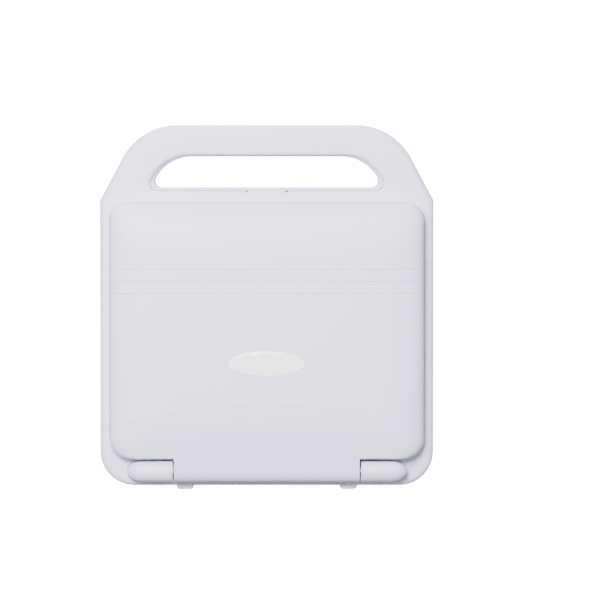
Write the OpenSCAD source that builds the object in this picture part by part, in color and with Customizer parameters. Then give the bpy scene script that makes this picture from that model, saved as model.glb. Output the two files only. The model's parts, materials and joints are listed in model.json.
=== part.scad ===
// Portable ultrasound machine: a closed clamshell that stands on its hinge end, carry handle on top.
// X runs across, Y from the lid (negative) to the underside (positive), Z up; z = 0 under the feet.

/* [Case] */
// Overall width
case_w = 320; // [280:1:380]
// Overall height, from the standing feet to the top of the handle
case_h = 350; // [310:1:410]
// Depth of the base, from its front rim to its underside
base_depth = 50; // [49:1:56]
// Depth of the front shell, from the rim to the seam
seam_depth = 17; // [16:0.5:19]
// Wall of both shells
case_wall = 3; // [2.6:0.1:3.2]
// Rounding of the outer edges
edge_r = 6; // [4:0.5:7]
// Radius of the two lower corners
corner_r = 33; // [28:1:38]

/* [Handle] */
// How far the flat top of the handle ends before the side of the case
handle_end = 74.5; // [70:0.5:84]
// Radius of the shoulders
shoulder_r = 60; // [50:1:66]
// Slope of the sides below the shoulders, in degrees from level
shoulder_angle = 62; // [58:1:66]
// Height of the grip
grip_h = 30; // [26:0.5:32]
// Height of the hand opening
opening_h = 29.5; // [28:0.5:31]
// How far the flat upper edge of the hand opening ends before that of the handle
opening_end = 13.5; // [12:0.5:18]
// Large radius at the ends of the hand opening
opening_end_r = 40; // [36:1:41]
// Small radius at the lower corners of the hand opening
opening_low_r = 6.5; // [5:0.5:8]
// Height of the lip between the lid and the hand opening
lip_h = 14.8; // [14.5:0.1:16]
// How far the back of the handle is set in from the underside
handle_set_in = 16; // [12:1:18]

/* [Lid] */
// Depth of the lid
lid_depth = 26.6; // [26:0.1:29]
// Width of the rim that shows beside the lid
lid_margin = 9.5; // [8.5:0.1:12]
// Wall of the lid
lid_wall = 2.6; // [2.2:0.1:3]
// Width of the soft slope along the sides
lid_side_slope = 24; // [18:1:26]
// Width of the soft slope along the top
lid_top_slope = 30; // [20:1:32]
// Width of the rounding along the bottom
lid_low_slope = 5; // [3:1:8]
// Radius of the upper corners
lid_top_r = 17; // [12:1:20]
// Radius of the lower corners
lid_low_r = 20; // [15:1:24]
// Running gap between the lid and the rim
lid_gap = 0.4; // [0.3:0.1:0.6]
// Width and depth of the three straight grooves
groove_w = 1.9; // [1.2:0.1:2.4]
groove_depth = 0.8; // [0.5:0.1:1.2]
// Spacing of the three straight grooves
groove_pitch = 11.55; // [8:0.05:14]
// Height of the middle groove, as a share of the height of the lid
groove_share = 0.6915; // [0.62:0.0005:0.7]
// Radius of the arched groove
arch_r = 512; // [450:1:600]
// Height of the crown of the arched groove, as a share of the height of the lid
arch_share = 0.2064; // [0.19:0.0001:0.24]
// Long and short diameters of the oval badge
badge_w = 73; // [60:1:80]
badge_h = 24; // [18:1:28]
// Height of the centre of the badge, as a share of the height of the lid
badge_share = 0.3747; // [0.33:0.0001:0.45]
// How far the badge stands proud of the lid
badge_rise = 0.6; // [0.3:0.1:0.9]

/* [Screen] */
// Width of the lid beside the visible screen
screen_side = 27.5; // [26:0.5:36]
// Height of the lid above and below the visible screen, added together
screen_ends = 60.2; // [58:0.1:70]
// Thickness of the display panel
display_t = 7; // [5:0.5:8]
// Thickness of the protective window
window_t = 1.5; // [1:0.1:2]

/* [Hinge] */
// Radius of the hinge barrel of the lid and of the covers beside it
hinge_r = 10; // [9.5:0.1:10.5]
// Height of the hinge axis above the bottom of the case
hinge_rise = 15; // [14.5:0.5:16]
// Distance of the hinge axis in front of the rim
hinge_forward = 9; // [8.8:0.1:9.4]
// How far the tab of the lid ends before the side of the case
tab_in = 71.5; // [70:0.5:78]
// Length of each hinge cover
cover_len = 44; // [40:1:46]
// Length of the rounded tip of each hinge cover
cover_tip = 16; // [10:1:16]
// Diameter of the hinge pins
pin_d = 6; // [5:0.5:6.5]
// Radial running clearance of pins and shafts
fit = 0.04; // [0.02:0.01:0.08]

/* [Feet] */
// Height of the feet under the hinge end
stand_foot_h = 4; // [3:0.5:5]
// Width of each of these feet
stand_foot_w = 17; // [14:1:20]
// Length of each of these feet, front to back
stand_foot_l = 38; // [34:1:40]
// How far their centre lines lie inside the ends of the tab
stand_foot_in = 10; // [9:0.5:16]
// Height of the four feet on the underside
desk_foot_h = 3; // [2:0.5:4]
// Diameter of the four feet on the underside
desk_foot_d = 16; // [12:1:20]

/* [Control panel] */
// Depth of the control panel below the rim
deck_drop = 6; // [5.8:0.1:6.5]
// Thickness of the control panel
deck_t = 2.5; // [2:0.1:2.8]
// Height of the key tops above the control panel
key_rise = 4.4; // [3.5:0.1:5]
// Travel of the keys
key_travel = 1.5; // [1:0.1:1.8]
// Gap round each key
key_gap = 0.4; // [0.3:0.05:0.6]
// Space between neighbouring keys
key_space = 3.5; // [3.3:0.1:5]
// Number of keys in a row of the keyboard
row_keys = 12; // [10:1:12]
// Diameter of the trackball
ball_d = 32; // [30:0.5:33]
// Height of the trackball above the control panel
ball_rise = 5; // [4:0.5:5.5]
// Diameter of the gain knob
knob_d = 28; // [24:1:32]
// Diameter of the power button
power_d = 14; // [12:1:18]
// Travel of each gain slider to either side
slider_travel = 14; // [10:1:15]

/* [Latch] */
// Width of the latch button
latch_w = 39.2; // [34:0.1:40]
// Travel of the latch button
latch_travel = 2.2; // [1.8:0.1:2.3]

/* [Inside] */
// Side of the square fan
fan_side = 28; // [24:1:28]
// Depth of the fan
fan_depth = 8; // [7:0.5:9]
// Depth of the battery
battery_d = 20; // [16:1:21]
// Width and height of the mouth of the probe socket
probe_mouth_w = 16; // [14:0.5:17]
probe_mouth_h = 38; // [34:1:40]
// Thickness of the circuit boards
board_t = 1.6; // [1.2:0.1:2]

/* [Hidden] */

$fn = 48;
// Steps of the arcs in an outline, and of the rounding of an edge
arc_steps = 6;
edge_steps = 4;
lid_steps = 6;
// Overrun of every cut, and gap round a seated piece
over = 1;
seat_gap = 0.3;
// Shell colours
white = "#e2e3ea";
grey = "#8f939c";
dark = "#33363c";
steel = "#9a9da2";
green = "#2f6b45";

// Places along Y, from the lid to the underside
total_depth = badge_rise + lid_depth + lid_gap + base_depth + desk_foot_h;
lid_face_y = badge_rise - total_depth / 2;
lid_back_y = lid_face_y + lid_depth;
rim_y = lid_back_y + lid_gap;
seam_y = rim_y + seam_depth;
back_y = rim_y + base_depth;
rim_in_y = rim_y + case_wall;
back_in_y = back_y - case_wall;
handle_back_y = back_y - handle_set_in;
deck_y = rim_y + deck_drop;
deck_back_y = deck_y + deck_t;

// Widths that follow the case
handle_top_w = case_w - 2 * handle_end;
opening_top_w = handle_top_w - 2 * opening_end;
lid_w = case_w - 2 * lid_margin;
screen_w = lid_w - 2 * screen_side;
tab_w = case_w - 2 * tab_in;

// Heights of the case
case_low_z = stand_foot_h;
opening_top_z = case_h - grip_h;
opening_low_z = opening_top_z - opening_h;
lid_top_z = opening_low_z - lip_h;
hinge_y = rim_y - hinge_forward;
hinge_z = case_low_z + hinge_rise;
lid_low_gap = 2;
lid_low_z = hinge_z + hinge_r + lid_low_gap;
lid_mid_z = (lid_top_z + lid_low_z) / 2;
lid_h = lid_top_z - lid_low_z;
groove_z = lid_low_z + groove_share * lid_h;
arch_z = lid_low_z + arch_share * lid_h;
badge_z = lid_low_z + badge_share * lid_h;

// Shoulder line, from the tangent point of the shoulder arc down to the side of the case
shoulder_x = handle_top_w / 2 + shoulder_r * sin(shoulder_angle);
shoulder_arc_z = case_h - shoulder_r + shoulder_r * cos(shoulder_angle);
shoulder_z = shoulder_arc_z - (case_w / 2 - shoulder_x) * tan(shoulder_angle);

// Cavity of the base
cavity_w = case_w - 2 * case_wall;
cavity_low_z = case_low_z + case_wall;
lip_solid = 10.5;
cavity_top_z = opening_low_z - lip_solid;
cavity_h = cavity_top_z - cavity_low_z;
back_top_drop = 2;
body_top_z = opening_low_z - back_top_drop;

// Window of the front shell, with its skirt down to the control panel
deck_margin = 15;
deck_window_w = case_w - 2 * deck_margin;
deck_window_r = 8;
skirt_w = 3;
window_low_rise = 7;
window_top_drop = 17.7;
window_low_z = lid_low_z + window_low_rise;
window_top_z = lid_top_z - window_top_drop;
window_h = window_top_z - window_low_z;

// Bosses and screws of the base: one column at each side, and one in each shoulder
boss_r = 4.5;
screw_r = 1.5;
screw_clear = 0.05;
head_r = 3;
head_depth = 2.2;
boss_x = cavity_w / 2 - boss_r - over;
shoulder_screw_in = 33;
shoulder_screw_x = case_w / 2 - shoulder_screw_in;
shoulder_screw_rise = 11;
boss_share = [0.09, 0.52, 0.945];
function inside(share) = cavity_low_z + share * cavity_h;
boss_places = [for (share = boss_share) [boss_x, inside(share), back_y]];
screw_places = concat(boss_places, [[shoulder_screw_x, opening_low_z + shoulder_screw_rise,
    handle_back_y]]);

// Latch: the button in the lip, its slider behind the rim, and the tongue of the lid
latch_gap = 0.4;
latch_notch_h = 6;
latch_skirt_h = latch_notch_h - latch_travel - 2 * seat_gap;
latch_button_d = 13;
latch_plate_t = 2.5;
latch_plate_w = 18;
latch_plate_set = 2.7;
latch_bar_w = 34;
latch_bar_h = 2.5;
latch_bar_drop = 4;
latch_leg_w = 2.5;
latch_button_top_z = opening_low_z - seat_gap;
latch_bar_z = opening_low_z - lip_solid - latch_bar_drop;
latch_y = rim_in_y + latch_plate_set;
tongue_w = 10;
tongue_t = 2.5;
tongue_rim_drop = 3.2;
tongue_reach = 11.4;
tongue_nose = 2;
tongue_z = lid_top_z - tongue_rim_drop - tongue_t;
tongue_tip_y = lid_back_y + tongue_reach;
spring_r = 2.2;
spring_x = 14;
spring_h = 12;
spring_bore_r = 1.6;
spring_seat_h = 2;
spring_seat_w = 6;

// Hinge hardware
bracket_r = 6;
bracket_len = 27;
bracket_gap = 2.5;
bracket_arm_h = 6;
bracket_plate_t = 2.5;
bracket_plate_rise = 5;
bracket_plate_h = 22;
arm_block_r = 5;
arm_w = 22;
arm_inset = 4.5;
arm_t = 3;
arm_front = 7;
arm_h = 61;
arm_slot_gap = 0.3;
trough_gap = 0.8;
cover_gap = 1.5;

// Display stack behind the bezel
bezel_t = 2.5;
bezel_fit = 0.3;
screen_lift = 3.65;
screen_z = lid_mid_z + screen_lift;
screen_h = lid_h - screen_ends;
window_margin = 3;
display_margin_w = 8;
display_margin_h = 7;
bezel_y = lid_back_y - bezel_t;
window_y = bezel_y - window_t;
display_y = window_y - display_t;
lid_boss_r = 4;
lid_boss_in = 11;
lid_boss_z_share = [0.075, 0.5, 0.94];

// Zones of the control panel, as shares of the height of its window
slider_share = 0.145;
function_share = 0.215;
keyboard_share = 0.42;
ball_share = 0.825;
near_keys_share = 0.665;
power_share = 0.065;
speaker_share = 0.19;
function zone(share) = window_low_z + share * window_h;
ball_z = zone(ball_share);
// Key sizes and their places across the window, as shares of its width and height
key_side = 19;
key_pitch_x = (deck_window_w - 2 * key_side) / row_keys;
key_w = key_pitch_x - key_space;
key_pitch_share = 0.0682;
key_pitch_z = key_pitch_share * window_h;
key_h = key_pitch_z - key_space;
function_keys_n = 7;
slider_x_share = -0.372;
slider_x = slider_x_share * deck_window_w;
slider_pitch_share = 0.0386;
slider_pitch = slider_pitch_share * window_h;
side_x_share = 0.386;
side_x = side_x_share * deck_window_w;
mode_pitch_share = [0.0897, 0.091];
mode_pitch_x = mode_pitch_share[0] * deck_window_w;
mode_pitch_z = mode_pitch_share[1] * window_h;
mode_space = 6;
mode_key_w = mode_pitch_x - mode_space;
mode_key_h = mode_pitch_z - mode_space;
mode_right_share = -0.334;
mode_left_share = 0.359;
select_share = [0.124, 0.048, 0.118];
select_x = select_share[0] * deck_window_w;
select_w = select_share[1] * deck_window_w;
select_h = select_share[2] * window_h;
freeze_share = [-0.214, 0.069, 0.145];
freeze_x = freeze_share[0] * deck_window_w;
freeze_w = freeze_share[1] * deck_window_w;
freeze_h = freeze_share[2] * window_h;
knob_x_share = -0.359;
knob_x = knob_x_share * deck_window_w;

// Keys and what is under them
flange_t = 1.2;
flange_over = 1.2;
board_gap = 3.9;
key_board_y = deck_back_y + board_gap;
key_top_y = deck_y - key_rise;
flange_y = deck_back_y + seat_gap;
ball_r = ball_d / 2;
ball_y = deck_y - ball_rise + ball_r;
ball_gap = 0.35;
cup_wall = 2.5;
cup_r = ball_r + cup_wall;
cup_depth = 18;
ring_t = 1.4;
ring_gap = 0.6;
ring_w = 9;
cup_flange_w = 3;
knob_shaft_r = 3;
knob_lift = 0.4;
encoder_side = 14;
bush_r = 4.5;
bush_rise = 0.2;
slider_cap_w = 8;
slider_space = 2.5;
slider_cap_h = slider_pitch - slider_space;
slider_rise = 3.8;
slider_stem_w = 3;
slider_stem_t = 1.6;
slider_slot_h = 2.4;
slider_depth = 2.2;
sliders = 6;
speaker_r = 13;
grille_hole_r = 1.1;
grille_pitch = 4.4;

// Inside the base
board_post_h = 8.4;
board_y = back_in_y - board_post_h - board_t;
post_r = 3;
battery_w_share = 0.471;
battery_w = battery_w_share * cavity_w;
battery_h_share = 0.264;
battery_h = battery_h_share * cavity_h;
battery_z_share = 0.121;
battery_low_z = inside(battery_z_share);
battery_shelf = 3;
battery_door_lip = 1.5;
battery_door_gap = 0.3;
battery_door_w = battery_w + 2 * battery_shelf;
battery_door_h = battery_h + 2 * battery_shelf;
latch_door_overlap = 2;
thumb_w = 20;
thumb_h = 12;
thumb_t = 1.5;
thumb_travel = 3;
thumb_stem_w = 5;
thumb_stem_h = 4;
thumb_flange = 12;
thumb_gap = 0.4;
thumb_groove_pitch = 3;
board_z_share = [0.4505, 0.934];
board_low_z = inside(board_z_share[0]);
board_top_z = inside(board_z_share[1]);
main_board_share = [-0.465, 0.127];
main_board_x = main_board_share * cavity_w;
front_board_share = [0.159, 0.433];
front_board_x = front_board_share * cavity_w;
power_board_share = [0.274, 0.465];
power_board_x = power_board_share * cavity_w;
power_z_share = [0.048, 0.385];
power_board_z = [inside(power_z_share[0]), inside(power_z_share[1])];
fan_share = 0.707;
fan_z = inside(fan_share);
fan_y = (seam_y + back_in_y) / 2;
fan_bore_share = 0.45;
fan_vents = 6;
vent_w = 2.5;
vent_pitch = 4.5;
back_vents = 11;
back_vent_pitch = 9;
back_vent_h = 30;
back_vent_w = 3;
back_vent_share = [-0.038, 0.839];
back_vent_x = back_vent_share[0] * cavity_w;
back_vent_z = inside(back_vent_share[1]);
probe_share = 0.753;
probe_z = inside(probe_share);
probe_y = (seam_y + back_y) / 2;
probe_wall = 3.2;
probe_depth = 20;
probe_mouth_depth = 10;
lock_rise = 34.5;
lock_z = probe_z + lock_rise;
lock_w = 7;
lock_h = 9;
lock_travel = 5;
port_z_share = 0.304;
port_z = inside(port_z_share);
port_h = 72;
port_w = 23;
port_plate_t = 2;
port_set = 0.6;
port_body_depth = 14;
earth_share = 0.333;
earth_z = inside(earth_share);
earth_r = 8;
earth_pin_r = 3;
earth_depth = 9;

// Two-dimensional and three-dimensional helpers
function arc_points(centre, r, from, to, steps = arc_steps) =
    [for (i = [0:steps]) let (a = from + (to - from) * i / steps) centre + r * [cos(a), sin(a)]];
function mirrored(half) = concat(half, [for (i = [len(half) - 1:-1:0]) [-half[i][0], half[i][1]]]);

// Extrusion of an XZ outline from one Y to another
module along_y(from, to) {
    translate([0, to, 0]) rotate([90, 0, 0]) linear_extrude(to - from) children();
}
// Extrusion of a YZ outline from one X to another
module along_x(from, to) {
    translate([from, 0, 0]) rotate([90, 0, 90]) linear_extrude(to - from) children();
}
// Closed form through outlines of equal point count, ordered from front to back
function ring(y, points) = [for (p = points) [p[0], y, p[1]]];
module loft(rings) {
    n = len(rings[0]);
    last = (len(rings) - 1) * n;
    polyhedron(points = [for (points = rings) each points], faces = concat(
        [[for (i = [n - 1:-1:0]) i], [for (i = [0:n - 1]) last + i]],
        [for (k = [0:n:last - n], i = [0:n - 1]) let (j = (i + 1) % n) [k + i, k + j, k + j + n,
            k + i + n]]));
}
// Box between two corners
module block(x, y, z) {
    translate([x[0], y[0], z[0]]) cube([x[1] - x[0], y[1] - y[0], z[1] - z[0]]);
}
module centred(w, y, z) {
    block([-w / 2, w / 2], y, z);
}
// Round bars along the axes
module rod_x(x, y, z, r) {
    translate([x[0], y, z]) rotate([0, 90, 0]) cylinder(h = x[1] - x[0], r = r);
}
module rod_y(x, y, z, r) {
    translate([x, y[1], z]) rotate([90, 0, 0]) cylinder(h = y[1] - y[0], r = r);
}
module both_sides() {
    children();
    mirror([1, 0, 0]) children();
}
// Rectangle with round corners, centred on X, between two heights
module round_rect(w, z, r) {
    polygon(mirrored(concat(
        arc_points([w / 2 - r, z[0] + r], r, -90, 0),
        arc_points([w / 2 - r, z[1] - r], r, 0, 90))));
}

// Outline of the whole case from the front, set in evenly by the inset
function case_points(inset) = mirrored(concat(
    arc_points([case_w / 2 - corner_r, case_low_z + corner_r], corner_r - inset, -90, 0),
    [[case_w / 2 - inset, shoulder_z - inset * tan(45 - shoulder_angle / 2)]],
    arc_points([handle_top_w / 2, case_h - shoulder_r], shoulder_r - inset, 90 - shoulder_angle, 90,
        2 * arc_steps)));
// Outline of the hollow, which ends level under the lip
module cavity_outline() {
    intersection() {
        polygon(case_points(case_wall));
        translate([-case_w / 2, 0]) square([case_w, cavity_top_z]);
    }
}
// Back half of the case to a given depth, with a rounded rear edge
module back_form(y) {
    loft(concat([ring(seam_y, case_points(0))], [for (i = [0:edge_steps]) let (a = 90 * i / edge_steps)
        ring(y - edge_r * (1 - sin(a)), case_points(edge_r * (1 - cos(a))))]));
}
// Outline of the hand opening: a flat top, two long arcs, small lower corners
opening_span = opening_end_r - opening_low_r;
opening_turn = asin((opening_end_r - opening_h + opening_low_r) / opening_span);
opening_points = mirrored(concat(
    arc_points([opening_top_w / 2 + opening_span * cos(opening_turn), opening_low_z + opening_low_r],
        opening_low_r, -90, opening_turn),
    arc_points([opening_top_w / 2, opening_top_z - opening_end_r], opening_end_r, opening_turn, 90)));
// The opening widened at its ends, below and above, for the bevels at the front and back
front_bevel = [7.2, 3.6, 1.5];
front_bevel_depth = 6;
back_bevel = [5, 1.2, 4];
back_bevel_depth = 5;
opening_half_w = opening_top_w / 2 + opening_span;
function widened(growth) = [for (p = opening_points) [p[0] * (1 + growth[0] / opening_half_w),
    opening_low_z - growth[1] + (p[1] - opening_low_z) * (1 + (growth[1] + growth[2]) / opening_h)]];

// Front shell: rim, front half of the handle, window for the control panel
module front_housing() {
    color(white) difference() {
        union() {
            difference() {
                loft(concat([for (i = [0:edge_steps]) let (a = 90 * i / edge_steps)
                    ring(rim_y + edge_r * (1 - cos(a)), case_points(edge_r * (1 - sin(a))))],
                    [ring(seam_y, case_points(0))]));
                along_y(rim_in_y, seam_y + over) cavity_outline();
            }
            along_y(rim_in_y - over, deck_y)
                round_rect(deck_window_w + 2 * skirt_w,
                    [window_low_z - skirt_w, window_top_z + skirt_w], deck_window_r);
            both_sides() for (place = boss_places)
                rod_y(place[0], [rim_in_y - over, seam_y], place[1], boss_r);
            both_sides() block([spring_x - spring_seat_w / 2, spring_x + spring_seat_w / 2],
                [rim_in_y - over, latch_y + latch_plate_t], [latch_bar_z - spring_h - spring_seat_h,
                latch_bar_z - spring_h]);
        }
        along_y(rim_y - over, deck_y + over)
            round_rect(deck_window_w, [window_low_z, window_top_z], deck_window_r);
        loft([ring(rim_y, widened(front_bevel)), ring(rim_y + front_bevel_depth, opening_points)]);
        along_y(rim_y - over, seam_y + over) polygon(opening_points);
        both_sides() for (place = screw_places)
            rod_y(place[0], [rim_in_y + over, seam_y + over], place[1], screw_r + screw_clear);
        // Slot for the tongue of the lid, notch for the latch button, slot for its plate
        centred(tongue_w + 4 * latch_gap, [rim_y - over, rim_in_y + over],
            [tongue_z - tongue_nose - latch_gap, tongue_z + tongue_t + tongue_nose / 2]);
        centred(latch_w + 2 * latch_gap, [rim_y - over, rim_y + latch_button_d + 2 * latch_gap],
            [opening_low_z - latch_notch_h, opening_low_z + over]);
        centred(latch_plate_w + 2 * latch_gap, [latch_y - seat_gap, latch_y + latch_plate_t + seat_gap],
            [cavity_top_z - over, opening_low_z]);
        // Trough for the barrel of the lid, and ways in for the hinge brackets
        rod_x([-tab_w / 2 - trough_gap, tab_w / 2 + trough_gap], hinge_y, hinge_z, hinge_r + trough_gap);
        both_sides() block([tab_w / 2 + bracket_gap - seat_gap, tab_w / 2 + bracket_gap + bracket_len],
            [rim_y - over, rim_in_y + over],
            [hinge_z - bracket_arm_h / 2 - seat_gap, hinge_z + bracket_arm_h / 2 + seat_gap]);
    }
}

// Rear shell: underside, side walls, rear half of the handle
module rear_housing() {
    color(white) difference() {
        union() {
            difference() {
                union() {
                    back_form(handle_back_y);
                    intersection() {
                        back_form(back_y);
                        along_x(-case_w / 2, case_w / 2) polygon(concat(
                            [[seam_y, 0], [back_y, 0]],
                            arc_points([back_y - edge_r, body_top_z - edge_r], edge_r, 0, 90,
                                edge_steps),
                            [[seam_y, body_top_z]]));
                    }
                }
                along_y(seam_y - over, back_in_y) cavity_outline();
            }
            both_sides() for (place = boss_places)
                rod_y(place[0], [seam_y, back_in_y + over], place[1], boss_r);
            board_posts(main_board_x, [board_low_z, board_top_z]);
            board_posts(front_board_x, [board_low_z, board_top_z]);
            board_posts(power_board_x, power_board_z);
        }
        along_y(seam_y - over, back_y + over) polygon(opening_points);
        loft([ring(handle_back_y - back_bevel_depth, opening_points), ring(handle_back_y,
            widened(back_bevel))]);
        both_sides() for (place = screw_places) {
            rod_y(place[0], [seam_y - over, place[2]], place[1], screw_r + screw_clear);
            rod_y(place[0], [place[2] - 2 * head_depth, place[2] + over], place[1], head_r + seat_gap);
        }
        // Battery bay: the door lies in the outer step, the battery passes the inner one
        centred(battery_door_w, [back_y - battery_door_lip, back_y + over],
            [battery_low_z, battery_low_z + battery_door_h]);
        centred(battery_w + 2 * seat_gap, [back_in_y - over, back_y],
            [battery_low_z + battery_shelf - seat_gap,
                battery_low_z + battery_shelf + battery_h + seat_gap]);
        thumb_recess();
        // Air slots in the left side and in the underside
        for (i = [0:fan_vents - 1]) {
            z = fan_z + (i - (fan_vents - 1) / 2) * vent_pitch;
            block([-case_w / 2 - over, -cavity_w / 2 + over],
                [fan_y - fan_side * fan_bore_share, fan_y + fan_side * fan_bore_share],
                [z - vent_w / 2, z + vent_w / 2]);
        }
        for (i = [0:back_vents - 1]) {
            x = back_vent_x + (i - (back_vents - 1) / 2) * back_vent_pitch;
            block([x - back_vent_w / 2, x + back_vent_w / 2], [back_in_y - over, back_y + over],
                [back_vent_z - back_vent_h / 2, back_vent_z + back_vent_h / 2]);
        }
        // Openings in the sides for the probe socket, its lock, the earth stud and the ports
        block([cavity_w / 2 - over, case_w / 2 + over],
            [probe_y - probe_mouth_w / 2 - probe_wall - seat_gap,
                probe_y + probe_mouth_w / 2 + probe_wall + seat_gap],
            [probe_z - probe_mouth_h / 2 - probe_wall - seat_gap,
                probe_z + probe_mouth_h / 2 + probe_wall + seat_gap]);
        lock_recess();
        rod_x([cavity_w / 2 - over, case_w / 2 + over], probe_y, earth_z, earth_r + seat_gap);
        block([-case_w / 2 - over, -cavity_w / 2 + over],
            [probe_y - port_w / 2 - seat_gap, probe_y + port_w / 2 + seat_gap],
            [port_z - port_h / 2 - seat_gap, port_z + port_h / 2 + seat_gap]);
    }
}

// Four posts that carry a board on the underside wall
module board_posts(x, z) {
    for (px = [x[0] + 2 * post_r, x[1] - 2 * post_r], pz = [z[0] + 2 * post_r, z[1] - 2 * post_r])
        rod_y(px, [board_y + board_t, back_in_y + over], pz, post_r);
}
// Recess and slot of the battery latch, above the door
module thumb_recess() {
    z = battery_low_z + battery_door_h - latch_door_overlap;
    centred(thumb_w + 2 * thumb_gap, [back_y - 2 * thumb_t, back_y + over],
        [z, z + thumb_h + thumb_travel + 2 * thumb_gap]);
    centred(thumb_stem_w + 2 * thumb_gap, [back_in_y - over, back_y],
        [z + thumb_h / 2 - thumb_stem_h / 2,
            z + thumb_h / 2 + thumb_stem_h / 2 + thumb_travel + 2 * thumb_gap]);
}
// Recess and slot of the probe lock, in the right side
module lock_recess() {
    block([case_w / 2 - 2 * port_set - thumb_gap, case_w / 2 + over],
        [probe_y - lock_w / 2 - thumb_gap, probe_y + lock_w / 2 + thumb_gap],
        [lock_z - thumb_gap, lock_z + lock_h + lock_travel + thumb_gap]);
    block([cavity_w / 2 - over, case_w / 2],
        [probe_y - thumb_stem_h / 2 - thumb_gap, probe_y + thumb_stem_h / 2 + thumb_gap],
        [lock_z + lock_h / 2 - thumb_stem_h / 2 - thumb_gap,
        lock_z + lock_h / 2 + thumb_stem_h / 2 + lock_travel + thumb_gap]);
}

// Hole of one key in the control panel
module key_hole(x, z, w, h) {
    translate([x, z]) square([w + 2 * key_gap, h + 2 * key_gap], center = true);
}
// Centres of a row of keys
function row_x(count, pitch) = [for (i = [0:count - 1]) (i - (count - 1) / 2) * pitch];
function keyboard_z(row) = zone(keyboard_share) + (row - 1.5) * key_pitch_z;
function slider_z(i) = zone(slider_share) + (i - (sliders - 1) / 2) * slider_pitch;
function mode_left_places() = [for (x = row_x(2, mode_pitch_x), i = [0:2])
    [mode_left_share * deck_window_w + x, zone(near_keys_share) + i * mode_pitch_z]];
function mode_right_places() = [for (x = row_x(3, mode_pitch_x))
    [mode_right_share * deck_window_w + x, zone(near_keys_share)]];

// Control panel: a plate behind the window, pierced for the keys, ball, knob and sliders
module control_panel() {
    color(grey) {
        along_y(deck_y, deck_back_y) difference() {
            round_rect(deck_window_w + 2 * skirt_w, [window_low_z - skirt_w, window_top_z + skirt_w],
                deck_window_r);
            for (row = [0:3], x = row_x(row_keys, key_pitch_x)) key_hole(x, keyboard_z(row), key_w,
                key_h);
            for (x = row_x(function_keys_n, key_pitch_x)) key_hole(x, zone(function_share), key_w,
                key_h);
            for (place = concat(mode_left_places(), mode_right_places()))
                key_hole(place[0], place[1], mode_key_w, mode_key_h);
            for (x = [-select_x, select_x]) key_hole(x, ball_z, select_w, select_h);
            key_hole(freeze_x, ball_z, freeze_w, freeze_h);
            translate([0, ball_z]) circle(cup_r + key_gap);
            translate([knob_x, ball_z]) circle(bush_r + seat_gap);
            translate([side_x, zone(power_share)]) circle(power_d / 2 + key_gap);
            for (i = [0:sliders - 1]) translate([slider_x, slider_z(i)])
                square([2 * slider_travel + slider_stem_w + 4 * key_gap, slider_slot_h], center = true);
            translate([side_x, zone(speaker_share)]) circle(grille_hole_r);
            both_sides() for (place = boss_places) translate([place[0],
                place[1]]) circle(boss_r + seat_gap);
            for (ring = [1:2], i = [0:6 * ring - 1])
                translate([side_x + ring * grille_pitch * cos(60 * i / ring),
                    zone(speaker_share) + ring * grille_pitch * sin(60 * i / ring)])
                        circle(grille_hole_r);
        }
        // Posts for the key board, clear of the keys
        both_sides() for (z = [zone(near_keys_share) - mode_key_h - post_r,
            zone(function_share) + key_h])
            rod_y(deck_window_w / 2 - 2 * post_r, [deck_y + over, key_board_y], z, post_r);
    }
}

// Cap, stem and trapped flange of one key
module key(x, z, w, h) {
    translate([x, 0, z]) {
        centred(w, [key_top_y, flange_y + flange_t], [-h / 2, h / 2]);
        centred(w + 2 * flange_over, [flange_y, flange_y + flange_t], [-h / 2 - flange_over,
            h / 2 + flange_over]);
    }
}
module key_row(row) {
    color("#d9dade") for (x = row_x(row_keys, key_pitch_x)) key(x, keyboard_z(row), key_w, key_h);
}
module function_keys() {
    color("#b9bcc4") for (x = row_x(function_keys_n, key_pitch_x)) key(x, zone(function_share), key_w,
        key_h);
}
module mode_keys_left() {
    color("#c9ccd4") for (place = mode_left_places()) key(place[0], place[1], mode_key_w, mode_key_h);
}
module mode_keys_right() {
    color("#c9ccd4") for (place = mode_right_places()) key(place[0], place[1], mode_key_w, mode_key_h);
}
module select_keys() {
    color("#b9bcc4") for (x = [-select_x, select_x]) key(x, ball_z, select_w, select_h);
}
module freeze_key() {
    color("#5f86b0") key(freeze_x, ball_z, freeze_w, freeze_h);
}
module power_button() {
    color("#6aa37c") {
        rod_y(side_x, [key_top_y, flange_y + flange_t], zone(power_share), power_d / 2);
        rod_y(side_x, [flange_y, flange_y + flange_t], zone(power_share), power_d / 2 + flange_over);
    }
}

module trackball() {
    color("#b23a3f") translate([0, ball_y, ball_z]) sphere(ball_r);
}
// Cup that carries the ball, with a flange under the control panel
module trackball_cup() {
    socket_r = ball_r + ball_gap;
    mouth = asin((ball_y - deck_y) / socket_r);
    color(dark) translate([0, ball_y, ball_z]) rotate([-90, 0, 0]) rotate_extrude() polygon(concat(
        [[0, cup_depth]],
        arc_points([0, 0], socket_r, 90, -mouth, 2 * arc_steps),
        [[cup_r, deck_y - ball_y], [cup_r, deck_back_y - ball_y], [cup_r + cup_flange_w,
            deck_back_y - ball_y],
        [cup_r + cup_flange_w, deck_back_y + over - ball_y], [cup_r, deck_back_y + over - ball_y],
        [cup_r, cup_depth]]));
}
module trackball_ring() {
    ball_ring_r = sqrt(pow(ball_r, 2) - pow(ball_r - ball_rise, 2)) + ring_gap;
    color(grey) difference() {
        rod_y(0, [deck_y - ring_t, deck_y], ball_z, ball_ring_r + ring_w);
        rod_y(0, [deck_y - ring_t - over, deck_y + over], ball_z, ball_ring_r);
    }
}
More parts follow.
